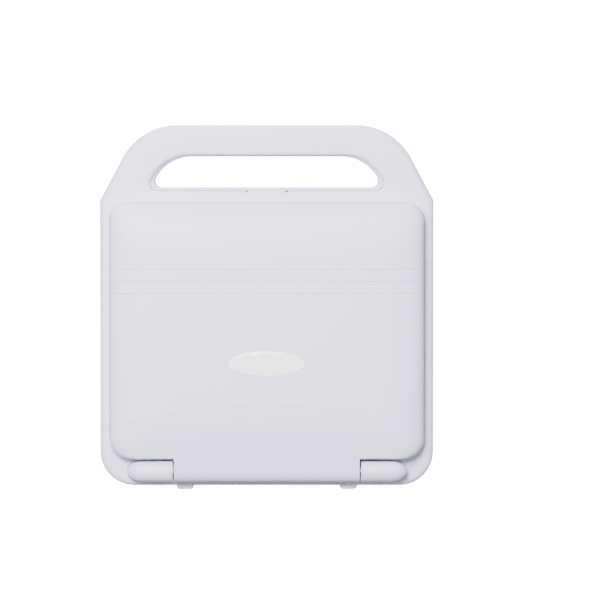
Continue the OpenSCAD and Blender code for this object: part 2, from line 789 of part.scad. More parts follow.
module gain_knob() {
    color(dark) difference() {
        union() {
            rod_y(knob_x, [key_top_y, deck_y - knob_lift], ball_z, knob_d / 2);
            rod_y(knob_x, [key_top_y + over, key_board_y - over], ball_z, knob_shaft_r);
        }
        for (i = [0:11]) translate([knob_x + knob_d / 2 * cos(30 * i), key_top_y - over,
            ball_z + knob_d / 2 * sin(30 * i)]) rotate([-90, 0, 0]) cylinder(h = key_rise + over,
                r = over, $fn = 16);
    }
}
// Encoder body under the panel, with the bush that guides the shaft of the knob
module gain_encoder() {
    color(steel) difference() {
        union() {
            translate([knob_x, 0, ball_z]) centred(encoder_side, [deck_back_y, key_board_y],
                [-encoder_side / 2, encoder_side / 2]);
            rod_y(knob_x, [deck_y - bush_rise, deck_back_y + over], ball_z, bush_r);
        }
        rod_y(knob_x, [deck_y - over, key_board_y - over + seat_gap], ball_z, knob_shaft_r + fit);
    }
}
module slider_tracks() {
    slot_w = 2 * slider_travel + slider_stem_w + 4 * key_gap;
    color(steel) for (i = [0:sliders - 1]) translate([slider_x, 0, slider_z(i)]) difference() {
        centred(slot_w + slider_slot_h, [deck_back_y, key_board_y], [-slider_cap_h / 2,
            slider_cap_h / 2]);
        centred(slot_w, [deck_back_y - over, deck_back_y + slider_depth + seat_gap],
            [-slider_slot_h / 2, slider_slot_h / 2]);
    }
}
module gain_slider(i) {
    color(dark) translate([slider_x, 0, slider_z(i)]) {
        centred(slider_cap_w, [deck_y - slider_rise, deck_y - seat_gap], [-slider_cap_h / 2,
            slider_cap_h / 2]);
        centred(slider_stem_w, [deck_y - slider_rise / 2, deck_back_y + slider_depth],
            [-slider_stem_t / 2, slider_stem_t / 2]);
    }
}
module speaker() {
    color(dark) difference() {
        rod_y(side_x, [deck_back_y, key_board_y], zone(speaker_share), speaker_r);
        rod_y(side_x, [deck_back_y - over, deck_back_y + over], zone(speaker_share),
            speaker_r - 2 * over);
    }
}
module key_board() {
    color(green) difference() {
        centred(deck_window_w - 2 * skirt_w, [key_board_y, key_board_y + board_t],
            [window_low_z + skirt_w, window_top_z - skirt_w]);
        rod_y(0, [key_board_y - over, key_board_y + board_t + over], ball_z, cup_r + over);
    }
}

// Hinge covers: half barrels with a rounded outer tip, flat behind against the rim
module hinge_cover() {
    start = tab_w / 2 + cover_gap;
    tip = start + cover_len - cover_tip;
    ellipse = [for (i = [0:arc_steps]) let (a = 90 * i / arc_steps) [hinge_r * cos(a),
        cover_tip * sin(a)]];
    difference() {
        union() {
            rod_x([start, tip], hinge_y, hinge_z, hinge_r);
            translate([tip, hinge_y, hinge_z]) rotate([0, 90, 0]) rotate_extrude()
                polygon(concat([[0, 0]], ellipse));
            block([start, tip], [hinge_y, rim_y], [hinge_z - hinge_r, hinge_z + hinge_r]);
            along_y(hinge_y, rim_y) translate([tip, hinge_z])
                polygon(concat([for (p = ellipse) [p[1], p[0]]],
                    [for (i = [arc_steps:-1:0]) [ellipse[i][1], -ellipse[i][0]]]));
        }
        block([start - over, tip + cover_tip + over], [rim_y, rim_y + hinge_r],
            [hinge_z - 2 * hinge_r, hinge_z + 2 * hinge_r]);
        rod_x([start - over, start + bracket_len + over], hinge_y, hinge_z, bracket_r + trough_gap);
        block([start - over, start + bracket_len + over], [hinge_y, rim_y + over],
            [hinge_z - bracket_arm_h / 2 - seat_gap, hinge_z + bracket_arm_h / 2 + seat_gap]);
    }
}
module hinge_cover_right() {
    color(white) hinge_cover();
}
module hinge_cover_left() {
    color(white) mirror([1, 0, 0]) hinge_cover();
}
// Steel brackets: a barrel for the pin, an arm through the rim, a foot behind it
module hinge_brackets() {
    start = tab_w / 2 + bracket_gap;
    x = [start, start + bracket_len - over];
    color(steel) both_sides() difference() {
        union() {
            rod_x(x, hinge_y, hinge_z, bracket_r);
            block(x, [hinge_y, rim_in_y + over], [hinge_z - bracket_arm_h / 2,
                hinge_z + bracket_arm_h / 2]);
            block(x, [rim_in_y, rim_in_y + bracket_plate_t],
                [cavity_low_z + bracket_plate_rise,
                    cavity_low_z + bracket_plate_rise + bracket_plate_h]);
        }
        rod_x([start - over, start + bracket_len], hinge_y, hinge_z, pin_d / 2 + fit);
    }
}
module hinge_pins() {
    color(steel) both_sides() rod_x([tab_w / 2 - arm_inset - arm_w,
        tab_w / 2 + bracket_gap + bracket_len - 2 * over],
        hinge_y, hinge_z, pin_d / 2);
}
// Steel arms inside the lid, clamped on the pins
module hinge_arms() {
    x = [tab_w / 2 - arm_inset - arm_w, tab_w / 2 - arm_inset];
    color(steel) both_sides() difference() {
        union() {
            rod_x(x, hinge_y, hinge_z, arm_block_r);
            block(x, [hinge_y - arm_front, hinge_y - arm_front + arm_t], [hinge_z, hinge_z + arm_h]);
            block(x, [hinge_y - arm_front, hinge_y], [hinge_z - arm_block_r, hinge_z + arm_block_r]);
        }
        rod_x([x[0] - over, x[1] + over], hinge_y, hinge_z, pin_d / 2 + fit);
    }
}

// Feet
module stand_feet() {
    foot_y = (rim_y + edge_r + back_y - edge_r) / 2;
    color(dark) for (x = [stand_foot_in - tab_w / 2, tab_w / 2 - stand_foot_in]) difference() {
        block([x - stand_foot_w / 2, x + stand_foot_w / 2],
            [foot_y - stand_foot_l / 2, foot_y + stand_foot_l / 2], [0, stand_foot_h]);
        for (i = [-1:1]) translate([x + i * stand_foot_w / 4, 0, 0])
            block([-seat_gap, seat_gap], [foot_y - stand_foot_l, foot_y + stand_foot_l], [-over,
                seat_gap]);
    }
}
desk_foot_in = 30;
desk_foot_low_z = 26;
desk_foot_drop = 22;
module desk_feet() {
    color(dark) both_sides() for (z = [desk_foot_low_z, opening_low_z - desk_foot_drop])
        rod_y(case_w / 2 - desk_foot_in, [back_y, back_y + desk_foot_h], z, desk_foot_d / 2);
}
module housing_screws() {
    color(steel) both_sides() for (place = screw_places) {
        head_y = place[2] - 2 * head_depth;
        rod_y(place[0], [rim_in_y + 2 * over, head_y], place[1], screw_r);
        difference() {
            rod_y(place[0], [head_y, head_y + head_depth], place[1], head_r);
            rod_y(place[0], [head_y + head_depth / 2, head_y + head_depth + over], place[1], screw_r);
        }
    }
}

// Battery, its door in the underside, and the sprung latch of the door
module battery_pack() {
    color(dark) centred(battery_w, [back_in_y - battery_d, back_in_y],
        [battery_low_z + battery_shelf, battery_low_z + battery_shelf + battery_h]);
}
module battery_door() {
    color(white) difference() {
        union() {
            centred(battery_door_w - 2 * battery_door_gap, [back_y - battery_door_lip, back_y],
                [battery_low_z + battery_door_gap, battery_low_z + battery_door_h - battery_door_gap]);
            centred(battery_w - battery_door_gap, [back_in_y, back_y - over],
                [battery_low_z + battery_shelf, battery_low_z + battery_shelf + battery_h]);
        }
        centred(thumb_w + 2 * thumb_gap, [back_y - battery_door_lip - thumb_t / 2, back_y + over],
            [battery_low_z + battery_door_h - latch_door_overlap - thumb_gap,
                battery_low_z + battery_door_h]);
    }
}
module battery_latch() {
    z = battery_low_z + battery_door_h - latch_door_overlap + thumb_gap;
    mid_z = z + thumb_h / 2;
    color(grey) difference() {
        union() {
            centred(thumb_w, [back_y - thumb_t, back_y], [z, z + thumb_h]);
            centred(thumb_stem_w, [back_in_y - thumb_t, back_y - thumb_t / 2],
                [mid_z - thumb_stem_h / 2, mid_z + thumb_stem_h / 2]);
            centred(thumb_flange, [back_in_y - thumb_t - thumb_gap, back_in_y - thumb_gap],
                [mid_z - thumb_stem_h, mid_z + thumb_stem_h]);
        }
        for (i = [-1:1]) centred(thumb_w - 4 * thumb_gap, [back_y - thumb_t / 3, back_y + over],
            [mid_z + i * thumb_groove_pitch - thumb_gap, mid_z + i * thumb_groove_pitch + thumb_gap]);
    }
}

// Boards, heat sink and fan
module board(x, z) {
    color(green) block(x, [board_y, board_y + board_t], z);
}
// Centre and side of the main processor, as shares of the board
cpu_share = [0.2, 0.53, 0.18];
chip_t = 2;
module main_board() {
    board(main_board_x, [board_low_z, board_top_z]);
    chip_share = [cpu_share, [0.55, 0.6, 0.16], [0.8, 0.6, 0.1], [0.55, 0.25, 0.12], [0.82, 0.25, 0.12]];
    w = main_board_x[1] - main_board_x[0];
    h = board_top_z - board_low_z;
    color(dark) for (share = chip_share) translate([main_board_x[0] + share[0] * w, 0,
        board_low_z + share[1] * h])
        centred(share[2] * w, [board_y - chip_t, board_y + board_t / 2], [-share[2] * w / 2,
            share[2] * w / 2]);
}
module front_end_board() {
    board(front_board_x, [board_low_z, board_top_z]);
    can_t = 5;
    inset = 10;
    color(steel) block([front_board_x[0] + inset, front_board_x[1] - inset], [board_y - can_t,
        board_y + board_t / 2],
        [board_low_z + inset, board_top_z - inset]);
}
module power_board() {
    board(power_board_x, power_board_z);
    coil_r = 8;
    coil_h = 14;
    x = (power_board_x[0] + power_board_x[1]) / 2;
    color("#7c5a2c") for (share = [0.25, 0.55, 0.82])
        rod_y(x, [board_y - coil_h, board_y + board_t / 2],
            power_board_z[0] + share * (power_board_z[1] - power_board_z[0]), coil_r);
}
sink_side = 32;
sink_h = 14;
sink_fins = 7;
module heat_sink() {
    x = main_board_x[0] + cpu_share[0] * (main_board_x[1] - main_board_x[0]);
    z = board_low_z + cpu_share[1] * (board_top_z - board_low_z);
    top_y = board_y - chip_t;
    color("#a8abb0") translate([x, 0, z]) difference() {
        centred(sink_side, [top_y - sink_h, top_y], [-sink_side / 2, sink_side / 2]);
        for (i = [0:sink_fins - 2]) translate([0, 0, (i + 1) * sink_side / sink_fins - sink_side / 2])
            centred(sink_side + over, [top_y - sink_h - over, top_y - case_wall],
                [-sink_side / sink_fins / 4, sink_side / sink_fins / 4]);
    }
}
fan_hub_r = 6;
// Number of the blades and the angle by which each is set back, in degrees
fan_blades = 7;
blade_pitch = 30;
fan_shaft_r = 1;
fan_web = 1.6;
fan_clear = 0.8;
fan_x = -cavity_w / 2;
module fan_frame() {
    half = fan_side / 2;
    bore_r = fan_side * fan_bore_share;
    color(dark) difference() {
        block([fan_x, fan_x + fan_depth], [fan_y - half, fan_y + half], [fan_z - half, fan_z + half]);
        difference() {
            rod_x([fan_x - over, fan_x + fan_depth + over], fan_y, fan_z, bore_r);
            block([fan_x + fan_depth - fan_web, fan_x + fan_depth], [fan_y - half, fan_y + half],
                [fan_z - fan_web / 2, fan_z + fan_web / 2]);
            block([fan_x + fan_depth - fan_web, fan_x + fan_depth], [fan_y - fan_web / 2,
                fan_y + fan_web / 2],
                [fan_z - half, fan_z + half]);
            rod_x([fan_x + fan_depth - fan_web, fan_x + fan_depth], fan_y, fan_z, fan_hub_r - fan_clear);
        }
        rod_x([fan_x, fan_x + fan_depth + over], fan_y, fan_z, fan_shaft_r + fit);
    }
}
module fan_rotor() {
    blade_r = fan_side * fan_bore_share - fan_clear;
    x = [fan_x + fan_clear, fan_x + fan_depth - fan_web - fan_clear];
    color(dark) {
        rod_x(x, fan_y, fan_z, fan_hub_r);
        rod_x([x[0] + over, fan_x + fan_depth - fan_clear / 2], fan_y, fan_z, fan_shaft_r);
        translate([(x[0] + x[1]) / 2, fan_y,
            fan_z]) for (i = [1:fan_blades]) rotate([360 * i / fan_blades, 0, 0]) rotate([0, 0,
                blade_pitch])
            block([-fan_web, fan_web], [-fan_clear / 2, fan_clear / 2], [fan_hub_r - over,
                blade_r - fan_clear]);
    }
}

// Right side: probe socket with its lock, and the earth stud
module probe_socket() {
    w = probe_mouth_w + 2 * probe_wall;
    h = probe_mouth_h + 2 * probe_wall;
    x = case_w / 2 - port_set;
    color(dark) difference() {
        block([x - probe_depth, x], [probe_y - w / 2, probe_y + w / 2], [probe_z - h / 2,
            probe_z + h / 2]);
        block([x - probe_mouth_depth, x + over], [probe_y - probe_mouth_w / 2,
            probe_y + probe_mouth_w / 2],
            [probe_z - probe_mouth_h / 2, probe_z + probe_mouth_h / 2]);
    }
    pin_rows = 12;
    pitch = probe_mouth_h / (pin_rows + 1);
    color("#c9a33c") for (i = [1:pin_rows])
        block([x - probe_mouth_depth - over, x - probe_mouth_depth + over],
            [probe_y - probe_mouth_w / 4, probe_y + probe_mouth_w / 4],
            [probe_z - probe_mouth_h / 2 + i * pitch - pitch / 4,
                probe_z - probe_mouth_h / 2 + i * pitch + pitch / 4]);
}
module probe_lock() {
    x = case_w / 2 - port_set;
    mid_z = lock_z + lock_h / 2;
    color(grey) {
        block([x - port_set, x], [probe_y - lock_w / 2, probe_y + lock_w / 2], [lock_z,
            lock_z + lock_h]);
        block([cavity_w / 2 - thumb_t, x - port_set / 2], [probe_y - thumb_stem_h / 2,
            probe_y + thumb_stem_h / 2],
            [mid_z - thumb_stem_h / 2, mid_z + thumb_stem_h / 2]);
        block([cavity_w / 2 - thumb_t - thumb_gap, cavity_w / 2 - thumb_gap], [probe_y - lock_w,
            probe_y + lock_w],
            [mid_z - thumb_stem_h, mid_z + thumb_stem_h]);
    }
}
module earth_stud() {
    x = case_w / 2 - port_set;
    color("#c9a33c") {
        difference() {
            rod_x([x - earth_depth, x], probe_y, earth_z, earth_r);
            rod_x([x - earth_depth + thumb_t, x + over], probe_y, earth_z, earth_r - thumb_t);
        }
        rod_x([x - earth_depth + over, x - over], probe_y, earth_z, earth_pin_r);
    }
}
// Left side: port plate with the sockets behind it
port_share = [-0.19, 0, 0.18, 0.385];
inlet_share = -0.4;
port_size = [[12, 12], [5, 12], [5, 12], [9, 14]];
inlet_z = port_z + inlet_share * port_h;
inlet_r = 3.5;
inlet_pin_r = 1;
module port_mouths(grow) {
    for (i = [0:len(port_share) - 1])
        block([-case_w / 2, -case_w / 2 + port_body_depth - over],
            [probe_y - port_size[i][0] / 2 - grow, probe_y + port_size[i][0] / 2 + grow],
            [port_z + port_share[i] * port_h - port_size[i][1] / 2 - grow,
            port_z + port_share[i] * port_h + port_size[i][1] / 2 + grow]);
    rod_x([-case_w / 2, -case_w / 2 + port_body_depth - over], probe_y, inlet_z, inlet_r + grow);
}
module port_panel() {
    x = -case_w / 2 + port_set;
    color(dark) difference() {
        block([x, x + port_plate_t], [probe_y - port_w / 2, probe_y + port_w / 2],
            [port_z - port_h / 2, port_z + port_h / 2]);
        port_mouths(seat_gap);
    }
}
module port_connectors() {
    x = -case_w / 2 + port_set + port_plate_t;
    color(steel) {
        difference() {
            union() {
                for (i = [0:len(port_share) - 1])
                    block([x, x + port_body_depth],
                        [probe_y - port_size[i][0] / 2 - over, probe_y + port_size[i][0] / 2 + over],
                        [port_z + port_share[i] * port_h - port_size[i][1] / 2 - over,
                        port_z + port_share[i] * port_h + port_size[i][1] / 2 + over]);
                block([x, x + port_body_depth], [probe_y - inlet_r - over, probe_y + inlet_r + over],
                    [inlet_z - inlet_r - over, inlet_z + inlet_r + over]);
            }
            port_mouths(0);
        }
        rod_x([x + over, x + port_body_depth - over / 2], probe_y, inlet_z, inlet_pin_r);
    }
}

// Latch of the lid
module latch_slider() {
    skirt_low_z = latch_button_top_z - latch_skirt_h;
    claw_z = tongue_z - seat_gap;
    y = [latch_y, latch_y + latch_plate_t];
    color(white) {
        centred(latch_w, [rim_y + over, rim_y + latch_button_d], [skirt_low_z, latch_button_top_z]);
        centred(latch_plate_w, y, [latch_bar_z, skirt_low_z + over]);
        centred(latch_bar_w, y, [latch_bar_z, latch_bar_z + latch_bar_h]);
        both_sides() block([latch_plate_w / 2 - latch_leg_w, latch_plate_w / 2], y,
            [claw_z - 2 * latch_bar_h, latch_bar_z + over]);
        along_x(-latch_plate_w / 2, latch_plate_w / 2) polygon([[y[0], claw_z - 2 * latch_bar_h],
            [y[1], claw_z - 2 * latch_bar_h], [y[1], claw_z - latch_bar_h], [y[1] - over, claw_z],
            [y[0] + over, claw_z], [y[0], claw_z - over]]);
    }
}
module latch_springs() {
    color(steel) both_sides() translate([spring_x, latch_y + latch_plate_t / 2,
        latch_bar_z - spring_h]) difference() {
        cylinder(h = spring_h, r = spring_r);
        translate([0, 0, -over]) cylinder(h = spring_h + 2 * over, r = spring_bore_r);
    }
}
module latch_tongue() {
    color(steel) {
        centred(tongue_w, [bezel_y - tongue_t, tongue_tip_y], [tongue_z, tongue_z + tongue_t]);
        along_x(-tongue_w / 2, tongue_w / 2) polygon([[tongue_tip_y - tongue_nose,
            tongue_z - tongue_nose],
            [tongue_tip_y - tongue_nose / 2, tongue_z - tongue_nose], [tongue_tip_y, tongue_z],
            [tongue_tip_y, tongue_z + over], [tongue_tip_y - tongue_nose, tongue_z + over]]);
        centred(2 * tongue_w, [bezel_y - tongue_t, bezel_y], [tongue_z - tongue_t, tongue_z + tongue_t]);
    }
}

// Outline of the lid, set in by different widths at the sides, the top and the bottom
function lid_points(side, top, low) = mirrored(concat(
    arc_points([lid_w / 2 - side - lid_low_r, lid_low_z + low + lid_low_r], lid_low_r, -90, 0),
    arc_points([lid_w / 2 - side - lid_top_r, lid_top_z - top - lid_top_r], lid_top_r, 0, 90)));
lid_edge = 8;
lid_crown = 1.5;
crown_margin = 34;
// Rounded form of the lid; the inset shrinks it evenly, the back end can be drawn out
function lid_ring(y, turn, more, inset) = ring(y + inset,
    lid_points(lid_side_slope * turn + more + inset,
    lid_top_slope * turn + more + inset, lid_low_slope * turn + more + inset));
module lid_form(inset, back_end = 0) {
    round_y = lid_back_y - lid_edge;
    round_depth = lid_depth - lid_edge - lid_crown;
    loft(concat([lid_ring(lid_face_y, 1, crown_margin, inset)],
        [for (i = [lid_steps:-1:0]) let (a = 90 * i / lid_steps)
            lid_ring(round_y - round_depth * sin(a), 1 - cos(a), 0, inset)],
        [ring(lid_back_y + back_end, lid_points(inset, inset, inset))]));
}
// The face leans back below this height, to meet the barrel of the hinge
lean_z = 62;
lean_run = [hinge_y - lid_face_y, lean_z - hinge_z];
lean_angle = atan(lean_run[0] / lean_run[1]) - asin(hinge_r / norm(lean_run));
module lean_cut(inset) {
    translate([0, lid_face_y + inset, lean_z]) rotate([lean_angle, 0, 0])
        centred(case_w, [-lid_depth, 0], [-2 * lean_z, 0]);
}
// Tab between the hinge covers, solid round the pins
module hinge_tab() {
    rod_x([-tab_w / 2, tab_w / 2], hinge_y, hinge_z, hinge_r);
    difference() {
        hull() {
            rod_x([-tab_w / 2, tab_w / 2], hinge_y, hinge_z, hinge_r);
            centred(tab_w, [lid_face_y, lid_back_y], [lean_z - over, lean_z]);
        }
        centred(tab_w + over, [lid_back_y, rim_in_y + hinge_r], [hinge_z - 2 * hinge_r, lean_z + over]);
    }
}
module lid_grooves() {
    groove_end = 3.5;
    for (i = [-1:1]) centred(lid_w - 2 * groove_end, [lid_face_y - over, lid_back_y - lid_edge / 2],
        [groove_z + i * groove_pitch - groove_w / 2, groove_z + i * groove_pitch + groove_w / 2]);
    intersection() {
        along_y(lid_face_y - over, lid_back_y - lid_edge / 2) translate([0,
            arch_z - arch_r]) difference() {
            circle(arch_r, $fn = 240);
            circle(arch_r - groove_w * 2 / 3, $fn = 240);
        }
        centred(lid_w - 2 * groove_end, [lid_face_y - 2 * over, lid_back_y], [lid_low_z, arch_z + over]);
    }
}
badge_steps = 60;
function badge_points(grow) = [for (i = [0:badge_steps - 1]) let (a = 360 * i / badge_steps)
    [(badge_w / 2 + grow) * cos(a), badge_z + (badge_h / 2 + grow) * sin(a)]];
badge_seat = 0.7;
badge_edge = 0.5;
function lid_boss_z(share) = lid_low_z + share * (lid_top_z - lid_low_z);
module lid_cover() {
    arm_x = [tab_w / 2 - arm_inset - arm_w - arm_slot_gap, tab_w / 2 - arm_inset + arm_slot_gap];
    color(white) difference() {
        union() {
            difference() {
                union() {
                    difference() {
                        lid_form(0);
                        lean_cut(0);
                    }
                    hinge_tab();
                }
                difference() {
                    lid_form(lid_wall, over);
                    lean_cut(lid_wall);
                }
            }
            // Bosses under the bezel screws and behind the hinge arms
            both_sides() for (share = lid_boss_z_share)
                rod_y(lid_w / 2 - lid_boss_in, [lid_back_y - lid_edge * 2, bezel_y], lid_boss_z(share),
                    lid_boss_r);
            both_sides() block([lid_w / 2 - lid_boss_in, lid_w / 2 - lid_wall / 2],
                [lid_back_y - lid_edge * 2, bezel_y],
                [lid_mid_z - lid_wall, lid_mid_z + lid_wall]);
            both_sides() for (z = [lean_z - arm_block_r, lean_z + arm_block_r])
                rod_y(tab_w / 2 - arm_inset - arm_w / 2, [lid_face_y + lid_wall / 2 + over,
                    hinge_y - arm_front], z, lid_boss_r);
        }
        intersection() {
            lid_grooves();
            difference() {
                centred(case_w, [lid_face_y - over, lid_back_y], [0, case_h]);
                lid_form(groove_depth);
            }
        }
        along_y(lid_face_y - over, lid_face_y + badge_seat) polygon(badge_points(seat_gap));
        // Pockets for the hinge arms and pins
        both_sides() {
            rod_x(arm_x, hinge_y, hinge_z, arm_block_r + arm_slot_gap);
            block(arm_x, [hinge_y - arm_front - arm_slot_gap, hinge_y + arm_slot_gap],
                [hinge_z - arm_block_r - arm_slot_gap, lid_low_z + lid_wall + lid_low_slope]);
            rod_x([arm_x[1] - over, tab_w / 2 + over], hinge_y, hinge_z, pin_d / 2 + fit);
        }
        both_sides() for (share = lid_boss_z_share)
            rod_y(lid_w / 2 - lid_boss_in, [lid_back_y - lid_edge - over, bezel_y + over],
                lid_boss_z(share),
                screw_r + screw_clear);
    }
}
// Bare oval badge, slightly domed by a bevelled edge
module lid_badge() {
    front_y = lid_face_y - badge_rise;
    color("#f2f2f6") loft([ring(front_y, badge_points(-badge_edge)), ring(front_y + badge_edge,
        badge_points(0)),
        ring(lid_face_y + badge_seat, badge_points(0))]);
}

// Bezel that closes the lid round the screen
module lid_bezel() {
    inset = lid_wall + bezel_fit;
    color(grey) difference() {
        along_y(bezel_y, lid_back_y) polygon(lid_points(inset, inset, inset));
        along_y(bezel_y - over, lid_back_y + over) translate([0, screen_z]) square([screen_w,
            screen_h], center = true);
        centred(tongue_w + 2 * seat_gap, [bezel_y - over, lid_back_y + over], [tongue_z - seat_gap,
            tongue_z + tongue_t + seat_gap]);
        both_sides() for (share = lid_boss_z_share) {
            rod_y(lid_w / 2 - lid_boss_in, [bezel_y - over, lid_back_y + over], lid_boss_z(share),
                screw_r + screw_clear);
            rod_y(lid_w / 2 - lid_boss_in, [lid_back_y - over, lid_back_y + over], lid_boss_z(share),
                head_r + seat_gap);
        }
        both_sides() rod_y(lid_w / 2 - lid_boss_in, [lid_back_y - over, lid_back_y + over],
            lid_boss_z(bumper_share), bumper_r + fit);
        both_sides() rod_y(lid_w / 2 - lid_boss_in, [lid_back_y - over, lid_back_y + over],
            lid_boss_z(1 - bumper_share), bumper_r + fit);
    }
}
module screen_window() {
    color("#2b3338") centred(screen_w + 2 * window_margin, [window_y, bezel_y],
        [screen_z - screen_h / 2 - window_margin, screen_z + screen_h / 2 + window_margin]);
}
module display_panel() {
    w = screen_w + 2 * display_margin_w;
    h = screen_h + 2 * display_margin_h;
    color(steel) centred(w, [display_y, window_y], [screen_z - h / 2, screen_z + h / 2]);
}
backlight_w = 90;
backlight_h = 14;
backlight_rise = 4;
module backlight_board() {
    z = lid_low_z + lid_wall + backlight_rise;
    color(green) centred(backlight_w, [bezel_y - board_t, bezel_y], [z, z + backlight_h]);
    color(dark) for (x = [-backlight_w / 3, 0, backlight_w / 3]) translate([x, 0, z + backlight_h / 2])
        centred(backlight_h, [bezel_y - 3 * board_t, bezel_y - board_t / 2], [-backlight_h / 3,
            backlight_h / 3]);
}
bumper_r = 3;
bumper_share = 0.2;
bumper_t = 1.3;
module lid_bumpers() {
    color(dark) both_sides() for (share = [bumper_share, 1 - bumper_share])
        rod_y(lid_w / 2 - lid_boss_in, [lid_back_y - over, lid_back_y - over + bumper_t],
            lid_boss_z(share), bumper_r);
}
module lid_screws() {
    color(steel) both_sides() for (share = lid_boss_z_share) {
        rod_y(lid_w / 2 - lid_boss_in, [lid_back_y - lid_edge, lid_back_y - over], lid_boss_z(share),
            screw_r);
        difference() {
            rod_y(lid_w / 2 - lid_boss_in, [lid_back_y - over, lid_back_y - seat_gap],
                lid_boss_z(share), head_r);
            rod_y(lid_w / 2 - lid_boss_in, [lid_back_y - 2 * seat_gap, lid_back_y], lid_boss_z(share),
                screw_r);
        }
    }
}

front_housing();
rear_housing();
control_panel();
hinge_cover_left();
hinge_cover_right();
hinge_brackets();
stand_feet();
desk_feet();
housing_screws();
battery_door();
battery_pack();
main_board();
front_end_board();
power_board();
heat_sink();
fan_frame();
fan_rotor();
speaker();
key_board();
trackball_cup();
trackball_ring();
gain_encoder();
slider_tracks();
probe_socket();
port_panel();
port_connectors();
earth_stud();
latch_springs();
latch_slider();
battery_latch();
probe_lock();
power_button();
key_row(0);  // key_row_1
key_row(1);  // key_row_2
key_row(2);  // key_row_3
key_row(3);  // key_row_4
function_keys();
mode_keys_left();
mode_keys_right();
select_keys();
freeze_key();
trackball();
gain_knob();
gain_slider(0);  // gain_slider_1
gain_slider(1);  // gain_slider_2
gain_slider(2);  // gain_slider_3
gain_slider(3);  // gain_slider_4
gain_slider(4);  // gain_slider_5
gain_slider(5);  // gain_slider_6
lid_cover();
lid_badge();
lid_bezel();
display_panel();
screen_window();
backlight_board();
lid_bumpers();
latch_tongue();
hinge_arms();
hinge_pins();
lid_screws();
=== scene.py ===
import json
from math import asin, cos, degrees, pi, radians, sin, sqrt, tan

import bmesh
import bpy
import numpy as np
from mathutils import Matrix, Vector

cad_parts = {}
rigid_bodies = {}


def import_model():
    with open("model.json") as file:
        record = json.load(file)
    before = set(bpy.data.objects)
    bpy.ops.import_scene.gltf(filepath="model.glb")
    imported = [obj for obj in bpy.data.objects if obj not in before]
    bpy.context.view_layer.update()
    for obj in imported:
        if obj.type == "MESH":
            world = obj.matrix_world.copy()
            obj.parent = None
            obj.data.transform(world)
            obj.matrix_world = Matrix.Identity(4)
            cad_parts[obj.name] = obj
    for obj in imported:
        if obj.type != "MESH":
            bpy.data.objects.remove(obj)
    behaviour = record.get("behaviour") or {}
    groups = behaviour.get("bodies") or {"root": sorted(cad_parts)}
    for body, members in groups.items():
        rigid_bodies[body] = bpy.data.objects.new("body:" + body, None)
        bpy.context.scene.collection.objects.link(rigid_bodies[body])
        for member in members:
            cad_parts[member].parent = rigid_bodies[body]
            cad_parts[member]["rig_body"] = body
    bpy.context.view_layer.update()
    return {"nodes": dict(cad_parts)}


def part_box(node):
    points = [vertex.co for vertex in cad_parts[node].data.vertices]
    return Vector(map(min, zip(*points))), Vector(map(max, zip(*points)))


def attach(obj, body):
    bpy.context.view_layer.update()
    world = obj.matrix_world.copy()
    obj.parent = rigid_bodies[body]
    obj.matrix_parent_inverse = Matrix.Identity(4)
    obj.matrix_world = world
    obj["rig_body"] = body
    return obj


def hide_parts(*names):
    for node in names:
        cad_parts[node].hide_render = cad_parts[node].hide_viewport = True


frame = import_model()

# The two halves of the case are moulded in white ABS with a fine eroded texture, and meet at a seam all
# round. The front half carries the rim, the grip and the window of the control panel; screws from behind
# pull the two together. Sizes are in mm, in the frame of the construction.
MM = 0.001
CASE_W, CASE_TOP, CASE_LOW, RIM_Y, SEAM_Y = 320, 350, 4, -12.7, 4.3
WALL, EDGE_R, CORNER_R, CAVITY_TOP_Z = 3, 6, 33, 280
HANDLE_TOP_W, SHOULDER_R, SHOULDER_ANGLE = 171, 60, 62
OPENING_LOW_Z, OPENING_H, OPENING_TOP_W = 290.5, 29.5, 144
OPENING_END_R, OPENING_LOW_R = 40, 6.5
CORNER_STEPS, SHOULDER_STEPS, ROUND_STEPS = 18, 24, 9
# Steps by which the mouth of the hand opening is wider than the opening: at its ends, below and above
MOUTH_OUTER, MOUTH_STEP, MOUTH_LEDGE, NO_GROWTH = (8.2, 3.6, 3.6), (4.1, 3.4, 0.9), (3.3, 2.7, 0.6), (0, 0, 0)
# Its rounded turns, from the face inwards: start, depth, and growth before and after
MOUTH_TURNS = ((0, 3.6, MOUTH_OUTER, MOUTH_STEP), (5.2, 0, MOUTH_STEP, MOUTH_LEDGE),
               (3.4, 2.6, MOUTH_LEDGE, NO_GROWTH))
# How far a cutter reaches past the face that it opens
OVER = 1


def put(tree, kind, inputs=None, **settings):
    """Adds a node, sets its properties, and sets or links its inputs."""
    made = tree.nodes.new(kind)
    for key, value in settings.items():
        setattr(made, key, value)
    for key, value in (inputs or {}).items():
        if isinstance(value, bpy.types.NodeSocket):
            tree.links.new(value, made.inputs[key])
        else:
            made.inputs[key].default_value = value
    return made


def colour(text):
    """Linear colour of an sRGB hex value."""
    parts = [int(text[i:i + 2], 16) / 255 for i in (1, 3, 5)]
    return (*(c / 12.92 if c <= 0.04045 else ((c + 0.055) / 1.055) ** 2.4 for c in parts), 1)


def new_material(name):
    """A named material with an empty node tree, and the object coordinates in it."""
    material = bpy.data.materials.new(name)
    material.use_nodes = True
    material.node_tree.nodes.clear()
    return material, material.node_tree, put(material.node_tree, "ShaderNodeTexCoord").outputs["Object"]


